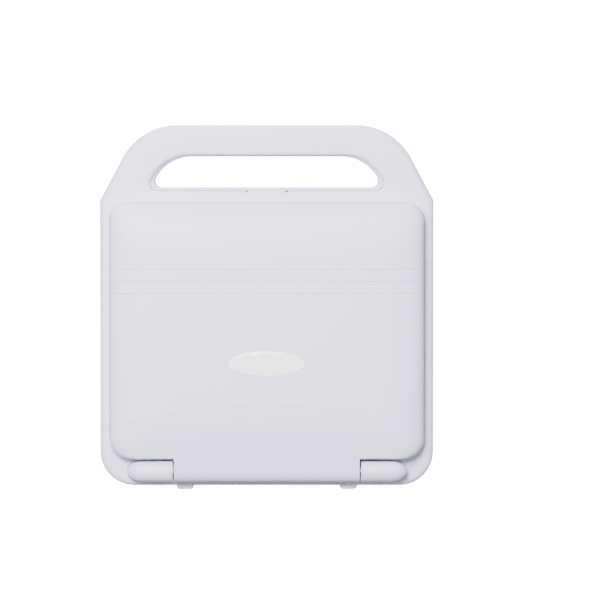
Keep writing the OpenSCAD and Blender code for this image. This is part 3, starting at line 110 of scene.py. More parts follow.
def moulded(name, hex_value, rough, grain_mm, grain_height, vary=0.02, coat=0.0, ior=1.5):
    """Moulded plastic: an even colour with faint clouding, and the fine grain of an eroded mould."""
    material, tree, place = new_material(name)
    base = colour(hex_value)
    cloud = put(tree, "ShaderNodeTexNoise", {"Vector": place, "Scale": 1 / (60 * MM), "Detail": 2.0})
    tint = put(tree, "ShaderNodeMix", {0: cloud.outputs["Fac"],
                                       6: (*(c * (1 - vary) for c in base[:3]), 1),
                                       7: (*(min(1, c * (1 + vary)) for c in base[:3]), 1)}, data_type="RGBA")
    grain = put(tree, "ShaderNodeTexNoise", {"Vector": place, "Scale": 1 / (grain_mm * MM), "Detail": 3.0})
    gloss = put(tree, "ShaderNodeMapRange", {"Value": grain.outputs["Fac"], "To Min": rough - 0.05,
                                             "To Max": rough + 0.05})
    bump = put(tree, "ShaderNodeBump", {"Height": grain.outputs["Fac"], "Strength": grain_height,
                                        "Distance": grain_mm * MM * 0.2})
    shader = put(tree, "ShaderNodeBsdfPrincipled", {
        "Base Color": tint.outputs[2], "IOR": ior, "Coat Weight": coat, "Coat Roughness": 0.12,
        "Roughness": gloss.outputs[0], "Normal": bump.outputs[0]})
    put(tree, "ShaderNodeOutputMaterial", {"Surface": shader.outputs[0]})
    return material


def arc(cx, cz, r, start, end, steps):
    """Points of an arc, angles in degrees."""
    angles = [radians(start + (end - start) * i / steps) for i in range(steps + 1)]
    return [(cx + r * cos(a), cz + r * sin(a)) for a in angles]


def both(half):
    """A right-hand half outline closed by its mirror image."""
    return half + [(-p[0], *p[1:]) for p in reversed(half)]


def loft(rings, caps=True):
    """Mesh through rings of equal length; a ring is a list of (x, y, z)."""
    mesh = bmesh.new()
    rows = [[mesh.verts.new(p) for p in ring] for ring in rings]
    n = len(rings[0])
    for a, b in zip(rows, rows[1:]):
        for i in range(n):
            mesh.faces.new((a[i], a[(i + 1) % n], b[(i + 1) % n], b[i]))
    if caps:
        mesh.faces.new(reversed(rows[0]))
        mesh.faces.new(rows[-1])
    bmesh.ops.recalc_face_normals(mesh, faces=mesh.faces)
    return mesh


def prism(outline, y0, y1):
    """An outline of (x, z) drawn out along Y."""
    return loft([[(x, y, z) for x, z in outline] for y in (y0, y1)])


def box(x, y, z):
    """A block between two corners."""
    return prism([(x[0], z[0]), (x[1], z[0]), (x[1], z[1]), (x[0], z[1])], *y)


def rod(centre, r, axis, start, end, steps=40):
    """A round bar along X or Y; centre gives its other two coordinates."""
    turns = [2 * pi * i / steps for i in range(steps)]
    ring = [(centre[0] + r * cos(a), centre[1] + r * sin(a)) for a in turns]
    if axis == "x":
        return loft([[(x, a, b) for a, b in ring] for x in (start, end)])
    return loft([[(a, y, b) for a, b in ring] for y in (start, end)])


def rounded(x, z, r, steps=8):
    """A rectangle of (x, z) between two corners, with round corners."""
    points = []
    for px, pz, start in ((x[1] - r, z[1] - r, 0), (x[0] + r, z[1] - r, 90), (x[0] + r, z[0] + r, 180),
                          (x[1] - r, z[0] + r, 270)):
        points += arc(px, pz, r, start, start + 90, steps)
    return points


def solid(name, mesh):
    """An object of a mesh given in mm, with its place in its vertices."""
    data = bpy.data.meshes.new(name)
    bmesh.ops.scale(mesh, vec=(MM,) * 3, verts=mesh.verts)
    mesh.to_mesh(data)
    mesh.free()
    made = bpy.data.objects.new(name, data)
    bpy.context.scene.collection.objects.link(made)
    return made


def applied(thing):
    """Turns an object's modifiers into its plain mesh."""
    thing.data = bpy.data.meshes.new_from_object(thing.evaluated_get(bpy.context.evaluated_depsgraph_get()))
    thing.modifiers.clear()
    return thing


def carve(thing, *cutters, operation="DIFFERENCE"):
    """Cuts each mesh out of an object, or joins it on."""
    tools = [solid(f"cutter_{i}", cutter) for i, cutter in enumerate(cutters)]
    for tool in tools:
        modifier = thing.modifiers.new(tool.name, "BOOLEAN")
        modifier.object, modifier.operation, modifier.solver = tool, operation, "EXACT"
    applied(thing)
    for tool in tools:
        bpy.data.objects.remove(tool)
    return thing


def finish(thing, material, body, nodes, bevel=0.4, limit=32, segments=2):
    """Softened edges, smooth shading, material, and the place in the frame."""
    thing.data.materials.clear()
    thing.data.materials.append(material)
    thing.data.shade_smooth()
    thing.data.set_sharp_from_angle(angle=radians(limit))
    if bevel:
        modifier = thing.modifiers.new("softened", "BEVEL")
        modifier.width, modifier.segments, modifier.limit_method = bevel * MM, segments, "ANGLE"
        modifier.angle_limit, modifier.harden_normals = radians(limit), True
    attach(thing, body)
    if nodes:
        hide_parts(*nodes)
    return thing


def shoulder_line_x(z, inset):
    """Half width of the case on its slanted shoulder line."""
    knee_x = HANDLE_TOP_W / 2 + SHOULDER_R * sin(radians(SHOULDER_ANGLE))
    knee_z = CASE_TOP - SHOULDER_R * (1 - cos(radians(SHOULDER_ANGLE)))
    return knee_x + (knee_z - z) / tan(radians(SHOULDER_ANGLE)) - inset / sin(radians(SHOULDER_ANGLE))


def case_half(inset, heights=()):
    """Right half of the case outline, set in evenly, with points at given heights of the shoulder."""
    knee_x = HANDLE_TOP_W / 2 + SHOULDER_R * sin(radians(SHOULDER_ANGLE))
    knee_z = CASE_TOP - SHOULDER_R * (1 - cos(radians(SHOULDER_ANGLE)))
    shoulder_z = knee_z - (CASE_W / 2 - knee_x) * tan(radians(SHOULDER_ANGLE))
    return (arc(CASE_W / 2 - CORNER_R, CASE_LOW + CORNER_R, CORNER_R - inset, -90, 0, CORNER_STEPS)
            + [(CASE_W / 2 - inset, shoulder_z - inset * tan(radians(45 - SHOULDER_ANGLE / 2)))]
            + [(shoulder_line_x(z, inset), z) for z in heights]
            + arc(HANDLE_TOP_W / 2, CASE_TOP - SHOULDER_R, SHOULDER_R - inset, 90 - SHOULDER_ANGLE, 90,
                  SHOULDER_STEPS))


def opening(growth=(0, 0, 0), share=0):
    """Outline of the hand opening, widened by a share of the growth at its ends, below and above."""
    span = OPENING_END_R - OPENING_LOW_R
    turn = degrees(asin((OPENING_END_R - OPENING_H + OPENING_LOW_R) / span))
    half = (arc(OPENING_TOP_W / 2 + span * cos(radians(turn)), OPENING_LOW_Z + OPENING_LOW_R, OPENING_LOW_R,
                -90, turn, 14)
            + arc(OPENING_TOP_W / 2, OPENING_LOW_Z + OPENING_H - OPENING_END_R, OPENING_END_R, turn, 90, 18))
    ends, low, top = (share * g for g in growth)
    stretch_x, stretch_z = 1 + ends / (OPENING_TOP_W / 2 + span), 1 + (low + top) / OPENING_H
    return both([(x * stretch_x, OPENING_LOW_Z - low + (z - OPENING_LOW_Z) * stretch_z) for x, z in half])


def round_over(y, inward, depth, outer, inner):
    """Rings that turn a mouth of the hand opening from one growth to a smaller one, inwards from a depth."""
    rings = []
    for i in range(ROUND_STEPS + 1):
        a = radians(90 * i / ROUND_STEPS)
        growth = [g + (h - g) * sin(a) for g, h in zip(outer, inner)]
        rings.append([(x, y + inward * depth * (1 - cos(a)), z) for x, z in opening(growth, 1)])
    return rings


def mouth(y, inward, *turns):
    """Cutter that opens one mouth of the hand opening into the face by one or more rounded turns."""
    rings = [[(x, y - inward * OVER, z) for x, z in opening(turns[0][2], 1)]]
    for start, depth, outer, inner in turns:
        rings += round_over(y + inward * start, inward, depth, outer, inner)
    return loft(rings)


def cavity(y0, y1):
    """The hollow of the base between two depths, level under the lip."""
    half = [p for p in case_half(WALL) if p[1] < CAVITY_TOP_Z]
    return prism(both(half + [(shoulder_line_x(CAVITY_TOP_Z, WALL), CAVITY_TOP_Z)]), y0, y1)


# White ABS from an eroded mould: cool, even and softly lit, with a broad dull highlight and no mirror
WHITE_ABS = moulded("white moulded ABS", "#d3d2e9", 0.42, 0.9, 0.12)

HINGE_Y, HINGE_Z, HINGE_R, TAB_W, TROUGH_GAP = -21.7, 19, 10, 177, 0.8
WINDOW_W, WINDOW_Z, WINDOW_R, SKIRT_W, DECK_Y = 290, (38, 258), 8, 3, -6.7
BRACKET_X, BRACKET_Z = (90.7, 118), (15.7, 22.3)
rings = []
for step in range(ROUND_STEPS + 1):
    a = radians(90 * step / ROUND_STEPS)
    rings.append([(x, RIM_Y + EDGE_R * (1 - cos(a)), z) for x, z in both(case_half(EDGE_R * (1 - sin(a))))])
rings.append([(x, SEAM_Y, z) for x, z in both(case_half(0))])
front = solid("front_shell", loft(rings))
carve(front, cavity(RIM_Y + WALL, SEAM_Y + OVER))
half_w = WINDOW_W / 2
skirt = rounded((-half_w - SKIRT_W, half_w + SKIRT_W), (WINDOW_Z[0] - SKIRT_W, WINDOW_Z[1] + SKIRT_W),
                WINDOW_R + SKIRT_W)
carve(front, prism(skirt, RIM_Y + WALL / 2, DECK_Y), operation="UNION")
carve(front, prism(rounded((-half_w, half_w), WINDOW_Z, WINDOW_R), RIM_Y - OVER, DECK_Y + OVER),
      prism(opening(), RIM_Y + OVER, SEAM_Y + OVER), mouth(RIM_Y, 1, *MOUTH_TURNS))
# Shallow seat of the lid and of the hinge covers, whose edge shows as a thin shadow line
LID_HALF_W, LID_Z, LID_LOW_R, LID_TOP_R, SEAT_DEPTH, SEAT_GAP = 150.5, (31, 275.7), 20, 17, 0.5, 0.6
seat_w = LID_HALF_W + SEAT_GAP
seat = (arc(seat_w - LID_LOW_R, LID_Z[0] - SEAT_GAP + LID_LOW_R, LID_LOW_R, -90, 0, 12)
        + arc(seat_w - LID_TOP_R, LID_Z[1] + SEAT_GAP - LID_TOP_R, LID_TOP_R, 0, 90, 12))
COVER_START, COVER_LEN, COVER_TIP, SEAT_OVERLAP = TAB_W / 2 + 1.5, 44, 16, 3
tip_x, cover_seat_r = COVER_START + COVER_LEN - COVER_TIP, HINGE_R + SEAT_GAP
foot = [(tip_x + (COVER_TIP + SEAT_GAP) * cos(radians(a)), HINGE_Z + cover_seat_r * sin(radians(a)))
        for a in range(-90, 91, 6)]
foot += [(COVER_START - SEAT_OVERLAP, HINGE_Z + side * cover_seat_r) for side in (1, -1)]
carve(front, *(prism(outline, RIM_Y - OVER, RIM_Y + SEAT_DEPTH)
               for outline in (both(seat), foot, [(-x, z) for x, z in foot])))
# Slot of the lid's tongue, notch of the latch button, trough of the lid's barrel, ways in for the brackets
TONGUE_SLOT_X, TONGUE_SLOT_Z = (-5.8, 5.8), (267.6, 273.5)
NOTCH_X, NOTCH_BACK_Y, NOTCH_LOW_Z, NOTCH_FRONT_Z, NOTCH_WALL = (-20, 20), 1.1, 284.5, 287.1, 0.8
MARK_X, MARK_Z, MARK_DEPTH = (17.3, 20), (285.7, 287.2), 1.4
through = (RIM_Y - OVER, RIM_Y + WALL + OVER)
trough = (-TAB_W / 2 - TROUGH_GAP, TAB_W / 2 + TROUGH_GAP)
carve(front, box(TONGUE_SLOT_X, through, TONGUE_SLOT_Z),
      box(NOTCH_X, (RIM_Y - OVER, NOTCH_BACK_Y), (NOTCH_FRONT_Z, OPENING_LOW_Z + OVER)),
      box(NOTCH_X, (RIM_Y + NOTCH_WALL, NOTCH_BACK_Y), (NOTCH_LOW_Z, OPENING_LOW_Z)),
      *(box(sorted(side * x for x in MARK_X), (RIM_Y - OVER, RIM_Y + MARK_DEPTH), MARK_Z)
        for side in (-1, 1)),
      rod((HINGE_Y, HINGE_Z), HINGE_R + TROUGH_GAP, "x", *trough, 72),
      *(box(sorted(side * x for x in BRACKET_X), through, BRACKET_Z) for side in (1, -1)))
finish(front, WHITE_ABS, "base", ["front_housing"], bevel=0.35)

# The rear half is the underside when the machine lies open on a desk. Its back steps in to the thinner
# handle, and it is pierced by air slots, the battery bay and the sockets at the two sides.
BACK_Y, HANDLE_BACK_Y, BODY_TOP_Z, CAVITY_LOW_Z = 37.3, 21.3, 288.5, 7
BACK_BEVEL, BACK_BEVEL_DEPTH, STEP_FILLET_R = (5, 1.2, 4), 5, 4
step_profile = [(BODY_TOP_Z - EDGE_R * (1 - sin(radians(a))), BACK_Y - EDGE_R * (1 - cos(radians(a))))
                for a in range(0, 91, 10)]
step_profile += [(BODY_TOP_Z + STEP_FILLET_R * (1 - cos(radians(a))),
                  HANDLE_BACK_Y + STEP_FILLET_R * (1 - sin(radians(a)))) for a in range(0, 91, 15)]


def back_ring(inset, rise):
    """A ring of the rear half, whose depth steps from the body to the handle."""
    half = case_half(inset, [z for z, _ in step_profile])
    depths = [BACK_Y] * (CORNER_STEPS + 2) + [y for _, y in step_profile]
    depths += [HANDLE_BACK_Y] * (SHOULDER_STEPS + 1)
    return both([(x, y - rise, z) for (x, z), y in zip(half, depths)])


rings = [[(x, SEAM_Y, z) for x, _, z in back_ring(0, 0)]]
for step in range(ROUND_STEPS + 1):
    a = radians(90 * step / ROUND_STEPS)
    rings.append(back_ring(EDGE_R * (1 - cos(a)), EDGE_R * (1 - sin(a))))
shell = loft(rings, caps=False)
shell.verts.ensure_lookup_table()
n = len(rings[0])
shell.faces.new([shell.verts[i] for i in range(n)])
last = (len(rings) - 1) * n
for i in range(n // 2 - 1):
    shell.faces.new([shell.verts[last + k] for k in (i, i + 1, n - 2 - i, n - 1 - i)])
bmesh.ops.recalc_face_normals(shell, faces=shell.faces)
rear = solid("rear_shell", shell)
carve(rear, cavity(SEAM_Y - OVER, BACK_Y - WALL), prism(opening(), SEAM_Y - OVER, BACK_Y),
      mouth(HANDLE_BACK_Y, -1, (0, BACK_BEVEL_DEPTH, BACK_BEVEL, NO_GROWTH)))
FIT_GAP, DOOR_T, DOOR_LEDGE, DOOR_R, SOCKET_R, PORT_R, EARTH_R = 0.3, 1.5, 3, 2.5, 2, 1.5, 8.3
# Recess and stem slot of the two slides; heights count from the lowest point of each slide
LATCH_X, LATCH_Z, LATCH_R, LATCH_DEPTH = (-10.4, 10.4), (-0.4, 15.4), 0.6, 3
LATCH_STEM_X, LATCH_STEM_Z, LATCH_STEM_DEPTH = (-2.9, 2.9), (3.6, 11.4), 2
LOCK_Y, LOCK_Z, LOCK_R, LOCK_X = (16.9, 24.7), (-0.4, 14.4), 1.5, 158.4
LOCK_STEM_X, LOCK_STEM_Y, LOCK_STEM_Z = (156, 159), (18.4, 23.2), (2.1, 11.9)


def limits(node):
    """The lowest and the highest corner of a constructed piece, in mm."""
    return [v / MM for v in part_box(node)]


def widened(low, high, gap=FIT_GAP):
    """A span with a gap at both ends."""
    return low - gap, high + gap


def along_x(outline, x0, x1):
    """An outline of (y, z) drawn out along X."""
    return loft([[(x, y, z) for y, z in outline] for x in (x0, x1)])


door_lo, door_hi = limits("battery_door")
probe_lo, probe_hi = limits("probe_socket")
earth_lo, earth_hi = limits("earth_stud")
port_lo, port_hi = limits("port_panel")
fan_lo, fan_hi = limits("fan_frame")
latch_z, lock_z = (limits(node)[0].z for node in ("battery_latch", "probe_lock"))
side_in, side_out = CASE_W / 2 - WALL - OVER, CASE_W / 2 + OVER
cuts = [prism(rounded(widened(door_lo.x, door_hi.x), widened(door_lo.z, door_hi.z), DOOR_R),
              BACK_Y - DOOR_T, BACK_Y + OVER),
        box(widened(door_lo.x, door_hi.x, -DOOR_LEDGE), (BACK_Y - WALL - OVER, BACK_Y - OVER),
            widened(door_lo.z, door_hi.z, -DOOR_LEDGE)),
        prism(rounded(LATCH_X, [latch_z + z for z in LATCH_Z], LATCH_R), BACK_Y - LATCH_DEPTH, BACK_Y + OVER),
        box(LATCH_STEM_X, (BACK_Y - WALL - OVER, BACK_Y - LATCH_STEM_DEPTH),
            [latch_z + z for z in LATCH_STEM_Z]),
        along_x(rounded(widened(probe_lo.y, probe_hi.y), widened(probe_lo.z, probe_hi.z), SOCKET_R),
                side_in, side_out),
        along_x(rounded(LOCK_Y, [lock_z + z for z in LOCK_Z], LOCK_R), LOCK_X, side_out),
        box(LOCK_STEM_X, LOCK_STEM_Y, [lock_z + z for z in LOCK_STEM_Z]),
        rod(((earth_lo.y + earth_hi.y) / 2, (earth_lo.z + earth_hi.z) / 2), EARTH_R, "x", side_in, side_out),
        along_x(rounded(widened(port_lo.y, port_hi.y), widened(port_lo.z, port_hi.z), PORT_R),
                -side_out, -side_in)]
carve(rear, *cuts)


def grid_tree():
    """Geometry Nodes that set copies of a part on a grid of points, in metres."""
    tree = bpy.data.node_groups.new("rows and columns", "GeometryNodeTree")
    ids, kinds = {}, {"Columns": "Int", "Rows": "Int", "Width": "Float", "Height": "Float",
                      "Centre": "Vector", "Turn": "Rotation", "Part": "Object", "Finish": "Material"}
    tree.interface.new_socket("Geometry", in_out="INPUT", socket_type="NodeSocketGeometry")
    tree.interface.new_socket("Geometry", in_out="OUTPUT", socket_type="NodeSocketGeometry")
    for name, kind in kinds.items():
        socket = tree.interface.new_socket(name, in_out="INPUT", socket_type=f"NodeSocket{kind}")
        ids[name] = socket.identifier
    entry = put(tree, "NodeGroupInput").outputs
    points = put(tree, "GeometryNodeMeshGrid", {"Vertices X": entry["Columns"], "Vertices Y": entry["Rows"],
                                                "Size X": entry["Width"], "Size Y": entry["Height"]})
    placed = put(tree, "GeometryNodeTransform", {"Geometry": points.outputs["Mesh"],
                                                 "Translation": entry["Centre"], "Rotation": entry["Turn"]})
    part = put(tree, "GeometryNodeObjectInfo", {"Object": entry["Part"]})
    copies = put(tree, "GeometryNodeInstanceOnPoints", {"Points": placed.outputs[0],
                                                        "Instance": part.outputs["Geometry"]})
    real = put(tree, "GeometryNodeRealizeInstances", {"Geometry": copies.outputs[0]})
    dressed = put(tree, "GeometryNodeSetMaterial", {"Geometry": real.outputs[0], "Material": entry["Finish"]})
    put(tree, "NodeGroupOutput", {"Geometry": dressed.outputs[0]})
    return tree, ids


GRID, GRID_IDS = grid_tree()
UPRIGHT = (pi / 2, 0, 0)


def repeated(name, part, material, counts, pitches, centre):
    """Copies of a part mesh on an upright grid, as one plain object; columns along X, rows along Z."""
    source = solid("part", part)
    source.data.shade_smooth()
    made = solid(name, bmesh.new())
    modifier = made.modifiers.new("rows and columns", "NODES")
    modifier.node_group = GRID
    width, height = ((count - 1) * pitch * MM for count, pitch in zip(counts, pitches))
    for key, value in (("Columns", counts[0]), ("Rows", counts[1]), ("Width", width), ("Height", height),
                       ("Centre", [c * MM for c in centre]), ("Turn", UPRIGHT), ("Part", source),
                       ("Finish", material)):
        modifier[GRID_IDS[key]] = value
    applied(made)
    bpy.data.objects.remove(source)
    return made


def cut_by(thing, tool):
    """Cuts a finished object out of another and removes it."""
    modifier = thing.modifiers.new("cut", "BOOLEAN")
    modifier.object, modifier.solver = tool, "EXACT"
    applied(thing)
    bpy.data.objects.remove(tool)
    return thing


fan_centre = ((fan_lo.y + fan_hi.y) / 2, (fan_lo.z + fan_hi.z) / 2)
SIDE_VENT, SIDE_VENTS, SIDE_VENT_PITCH, SIDE_VENT_X = ((-12.6, 12.6), (-1.25, 1.25), 1.2), 6, 4.5, -158
BACK_VENT, BACK_VENTS, BACK_VENT_PITCH = ((-1.5, 1.5), (-15, 15), 1.45), 11, 9
BACK_VENT_MID = (-11.93, 236.05)
VENT_REACH = (-5, 5)
cut_by(rear, repeated("side_vents", along_x(rounded(*SIDE_VENT), *VENT_REACH), None, (1, SIDE_VENTS),
                      (1, SIDE_VENT_PITCH), (SIDE_VENT_X, *fan_centre)))
cut_by(rear, repeated("back_vents", prism(rounded(*BACK_VENT), *VENT_REACH), None, (BACK_VENTS, 1),
                      (BACK_VENT_PITCH, 1), (BACK_VENT_MID[0], BACK_Y - 1, BACK_VENT_MID[1])))
SCREW_X, SHOULDER_SCREW, WELL_R, WELL_DEPTH, WELL_SIDES = 151.5, (127, 301.5), 3.3, 4.4, 28
SCREW_Z = [CAVITY_LOW_Z + share * (CAVITY_TOP_Z - CAVITY_LOW_Z) for share in (0.09, 0.52, 0.945)]
screws = [(side * SCREW_X, z, BACK_Y) for side in (-1, 1) for z in SCREW_Z]
screws += [(side * SHOULDER_SCREW[0], SHOULDER_SCREW[1], HANDLE_BACK_Y) for side in (-1, 1)]
wells = [rod((x, z), WELL_R, "y", y - WELL_DEPTH, y + OVER, WELL_SIDES) for x, z, y in screws]
carve(rear, *wells)
finish(rear, WHITE_ABS, "base", ["rear_housing"], bevel=0.35)

# The lid is one moulding of the same white ABS: soft slopes at the sides and the top, a face that leans
# back at the bottom to meet the barrel of its hinge, three straight grooves and one long arched groove.
FACE_Y, LID_BACK_Y, EDGE_Y, LID_WALL = -39.7, -13.1, -21.1, 2.6
SIDE_SLOPE, TOP_SLOPE, LOW_SLOPE = (58, 2.87), (64, 2.6), (39, 6.4)
LEAN_Z, LEAN_SOFT = 62, 2.5
LEAN = (np.arctan((HINGE_Y - FACE_Y) / (LEAN_Z - HINGE_Z))
        - asin(HINGE_R / np.hypot(HINGE_Y - FACE_Y, LEAN_Z - HINGE_Z)))
GROOVE_Z, GROOVE_W, GROOVE_DEPTH, GROOVE_END = (188.65, 200.2, 211.75), 1.9, 0.8, 147
ARCH_Z, ARCH_R, ARCH_W = 81.5, 512, 1.5


def slope_inset(slope, share):
    """Inset of a soft slope at a share of the depth of the lid."""
    width, power = slope
    return width * (1 - (1 - share ** power) ** (1 / power))


def lid_share(x, z, low=True):
    """Share of the depth that the pillow form of the lid reaches at each (x, z)."""
    least, most = np.zeros_like(x), np.ones_like(x)
    for _ in range(44):
        share = (least + most) / 2
        half_w = LID_HALF_W - slope_inset(SIDE_SLOPE, share)
        top = LID_Z[1] - slope_inset(TOP_SLOPE, share)
        bottom = LID_Z[0] + slope_inset(LOW_SLOPE, share) if low else np.full_like(x, -200)
        out_x, inside = np.abs(x), (np.abs(x) <= half_w) & (z <= top) & (z >= bottom)
        for r, past in ((LID_TOP_R, z - (top - LID_TOP_R)), (LID_LOW_R, bottom + LID_LOW_R - z)):
            corner = (out_x > half_w - r) & (past > 0)
            inside &= ~corner | ((out_x - half_w + r) ** 2 + past ** 2 <= r * r)
        least, most = np.where(inside, share, least), np.where(inside, most, share)
    return least


def lean_y(z, back=0):
    """Depth of the leaning lower face at a height."""
    return FACE_Y + back + (LEAN_Z - z) * tan(LEAN)


def softer_max(a, b, width):
    """The larger of two depths, rounded where they cross."""
    near = np.clip(width - np.abs(a - b), 0, None)
    return np.maximum(a, b) + near ** 2 / (4 * width)


def lid_depth_y(x, z, low=True):
    """Depth of the outside of the lid, with its grooves."""
    y = softer_max(EDGE_Y + (FACE_Y - EDGE_Y) * lid_share(x, z, low), lean_y(z), LEAN_SOFT)
    fade = np.clip((GROOVE_END - np.abs(x)) / 1.5, 0, 1)
    arch = ARCH_Z - ARCH_R + np.sqrt(ARCH_R ** 2 - np.minimum(np.abs(x), ARCH_R) ** 2)
    for centre, width in [(g, GROOVE_W) for g in GROOVE_Z] + [(arch, ARCH_W)]:
        near = np.clip(np.abs(z - centre) / (width / 2), 0, 1)
        y = y + GROOVE_DEPTH * fade * (1 - near ** 2) ** 0.5
    return y


GROOVE_LINES = (-1.3, -1.0, -0.97, -0.85, -0.55, 0, 0.55, 0.85, 0.97, 1.0, 1.3)
# Grid lines that lie close at the rounded edges and the grooves, and wide apart on the face
EDGE_STEPS = [0, 0.03, 0.1, 0.2, 0.4, 0.7, 1.1, 1.6, 2.3, 3.2, 4.3, 5.7, 7.4, 9.4, 12, 15, 19, 24, 30, 37,
              46, 54]
SPLIT_Z = 34
lines = [LID_Z[1] - step for step in EDGE_STEPS] + [206, 194.5, 98, 90, 86]
lines += [centre + GROOVE_W / 2 * line for centre in GROOVE_Z for line in GROOVE_LINES]
lines += [ARCH_Z + ARCH_W / 2 * line for line in GROOVE_LINES]
lines += [*range(108, 185, 12), *range(37, 79, 3)]
lines += [35.5, SPLIT_Z, 33, 32.2, 31.6, 31.2, 31.05, 31]
lines = np.array(sorted(lines, reverse=True), float)
split = list(lines).index(SPLIT_Z)
SLOPE_LINES_Z, ARCH_REACH_Z = 216, 160
BARREL_STEPS, PLANE_STEPS, TAB_STATIONS = 30, 5, 25


def column(x):
    """Heights of the grid lines at one station across the lid; they follow the corners and the arch."""
    low = LID_LOW_R - sqrt(LID_LOW_R ** 2 - max(0, abs(x) - LID_HALF_W + LID_LOW_R) ** 2)
    top = LID_TOP_R - sqrt(LID_TOP_R ** 2 - max(0, abs(x) - LID_HALF_W + LID_TOP_R) ** 2)
    drop = ARCH_R - sqrt(ARCH_R ** 2 - min(abs(x), GROOVE_END) ** 2)
    lowest, arch_low, arch_high = LID_Z[0] + low, ARCH_Z - ARCH_W, ARCH_Z + ARCH_W
    z = lines - top * np.clip((lines - SLOPE_LINES_Z) / (LID_Z[1] - SLOPE_LINES_Z), 0, 1)
    z -= drop * np.clip((ARCH_REACH_Z - lines) / (ARCH_REACH_Z - arch_high), 0, 1)
    under = lines <= arch_low
    z[under] = lowest + (lines[under] - LID_Z[0]) / (arch_low - LID_Z[0]) * (arch_low - drop - lowest)
    return z


lid = bmesh.new()


def station(x, low, first=0, last=None):
    """Vertices of the outside of the lid at one station, from the top edge down."""
    z = column(x)
    y = lid_depth_y(np.full_like(z, x), z, low)
    return [lid.verts.new((x, a, b)) for a, b in zip(y[first:last], z[first:last])]


def tab_station(x):
    """A station that runs on down the tab and round its barrel to the back of the lid."""
    upper = station(x, False, 0, split + 1)
    turn, last_turn = pi + LEAN, 2 * pi + np.arccos((LID_BACK_Y - HINGE_Y) / HINGE_R)
    turns = np.linspace(turn, last_turn, BARREL_STEPS + 1)
    start, end = upper[-1].co.z, HINGE_Z + HINGE_R * sin(turn)
    path = [(lean_y(z), z) for z in np.linspace(start, end, PLANE_STEPS + 1)[1:-1]]
    path += [(HINGE_Y + HINGE_R * cos(a), HINGE_Z + HINGE_R * sin(a)) for a in turns]
    path += [(LID_BACK_Y, (HINGE_Z + HINGE_R + LID_Z[0]) / 2), (LID_BACK_Y, LID_Z[0])]
    return upper + [lid.verts.new((x, *p)) for p in path]


def bands(rows, closed=False):
    """Faces between neighbouring rows of vertices."""
    for a, b in zip(rows, rows[1:]):
        for i in range(len(a) - (not closed)):
            j = (i + 1) % len(a)
            lid.faces.new((a[i], a[j], b[j], b[i]))


middle = [tab_station(x) for x in np.linspace(-TAB_W / 2, TAB_W / 2, TAB_STATIONS)]
bands(middle)
top_back = [lid.verts.new((s[0].co.x, LID_BACK_Y, s[0].co.z)) for s in middle]
bands([[s[0] for s in middle], top_back])
sides = {}
for side, end in ((-1, 0), (1, -1)):
    tab_end = middle[end]
    lower = station(side * TAB_W / 2, True, split + 1)
    outer = [tab_end[:split + 1] + lower]
    outer += [station(side * (LID_HALF_W - step), True) for step in reversed(EDGE_STEPS)]
    bands(outer)
    lid.faces.new(tab_end[split:] + list(reversed(lower)))
    edge = [s[-1] for s in outer] + outer[-1][-2::-1] + [s[0] for s in outer[-2::-1]]
    back = [tab_end[-1]] + [lid.verts.new((v.co.x, LID_BACK_Y, v.co.z)) for v in edge[1:-1]] + [top_back[end]]
    bands([edge, back])
    sides[side] = back
outline = ([s[-1] for s in middle[:-1]] + sides[1][:-1] + top_back[:0:-1] + sides[-1][:0:-1])


centre_z = sum(LID_Z) / 2
LEAST_CORNER_R = 4


def inset_point(x, z, inset):
    """A point of the lid's outline moved in by the inset."""
    top_z, low_z = LID_Z[1] - LID_TOP_R, LID_Z[0] + LID_LOW_R
    r = LID_TOP_R if z > centre_z else LID_LOW_R
    mid_x, mid_z, left = LID_HALF_W - r, top_z if z > centre_z else low_z, max(r - inset, LEAST_CORNER_R)
    new_x, new_z = LID_HALF_W - inset - left, mid_z + (1 if z > centre_z else -1) * (r - inset - left)
    over_x, over_z = abs(x) - mid_x, z - mid_z
    sign = 1 if x > 0 else -1
    if over_x > 0 and (over_z > 0) == (z > centre_z):
        return sign * (new_x + over_x * left / r), new_z + over_z * left / r
    if over_x > 0:
        share = (z - low_z) / (top_z - low_z)
        new_low = low_z - (LID_LOW_R - inset - max(LID_LOW_R - inset, LEAST_CORNER_R))
        new_top = top_z + (LID_TOP_R - inset - max(LID_TOP_R - inset, LEAST_CORNER_R))
        return sign * (LID_HALF_W - inset), new_low + share * (new_top - new_low)
    return x * new_x / mid_x, z + (-inset if z > centre_z else inset)


# The hollow behind: distance from the outline and depth of each ring
INNER_STEPS = ((LID_WALL, LID_BACK_Y), (LID_WALL, -20), (5, -28), (12, -33), (22, -35.5))
rows = [outline]
for inset, y in INNER_STEPS:
    rows.append([lid.verts.new((a, y, b)) for a, b in (inset_point(v.co.x, v.co.z, inset) for v in outline)])
bands(rows, closed=True)
lid.faces.new(rows[-1])
bmesh.ops.recalc_face_normals(lid, faces=lid.faces)
cover = solid("lid_shell", lid)
finish(cover, WHITE_ABS, "lid", ["lid_cover"], bevel=0, limit=50)

# The oval badge is a separate pad of white polycarbonate, moulded with a low dome and a rounded edge, and
# pressed into a recess of the lid. Its face is bare.
BADGE_W, BADGE_H, BADGE_Z, BADGE_STEPS, BADGE_EDGE = 73, 24, 122.7, 96, 0.9
BADGE_PROFILE = ((1, -0.5), (1, 0.1), (0.997, 0.25), (0.988, 0.42), (0.97, 0.52), (0.93, 0.565), (0.8, 0.585),
                 (0.5, 0.597), (0.1, 0.6))
rings = []
for share, rise in BADGE_PROFILE:
    half_w = BADGE_W / 2 * share
    half_h = BADGE_H / 2 - BADGE_W / 2 * (1 - share) if share > BADGE_EDGE else BADGE_H / 2 * share
    turns = [2 * pi * i / BADGE_STEPS for i in range(BADGE_STEPS)]
    rings.append([(half_w * cos(a), FACE_Y - rise, BADGE_Z + half_h * sin(a)) for a in turns])
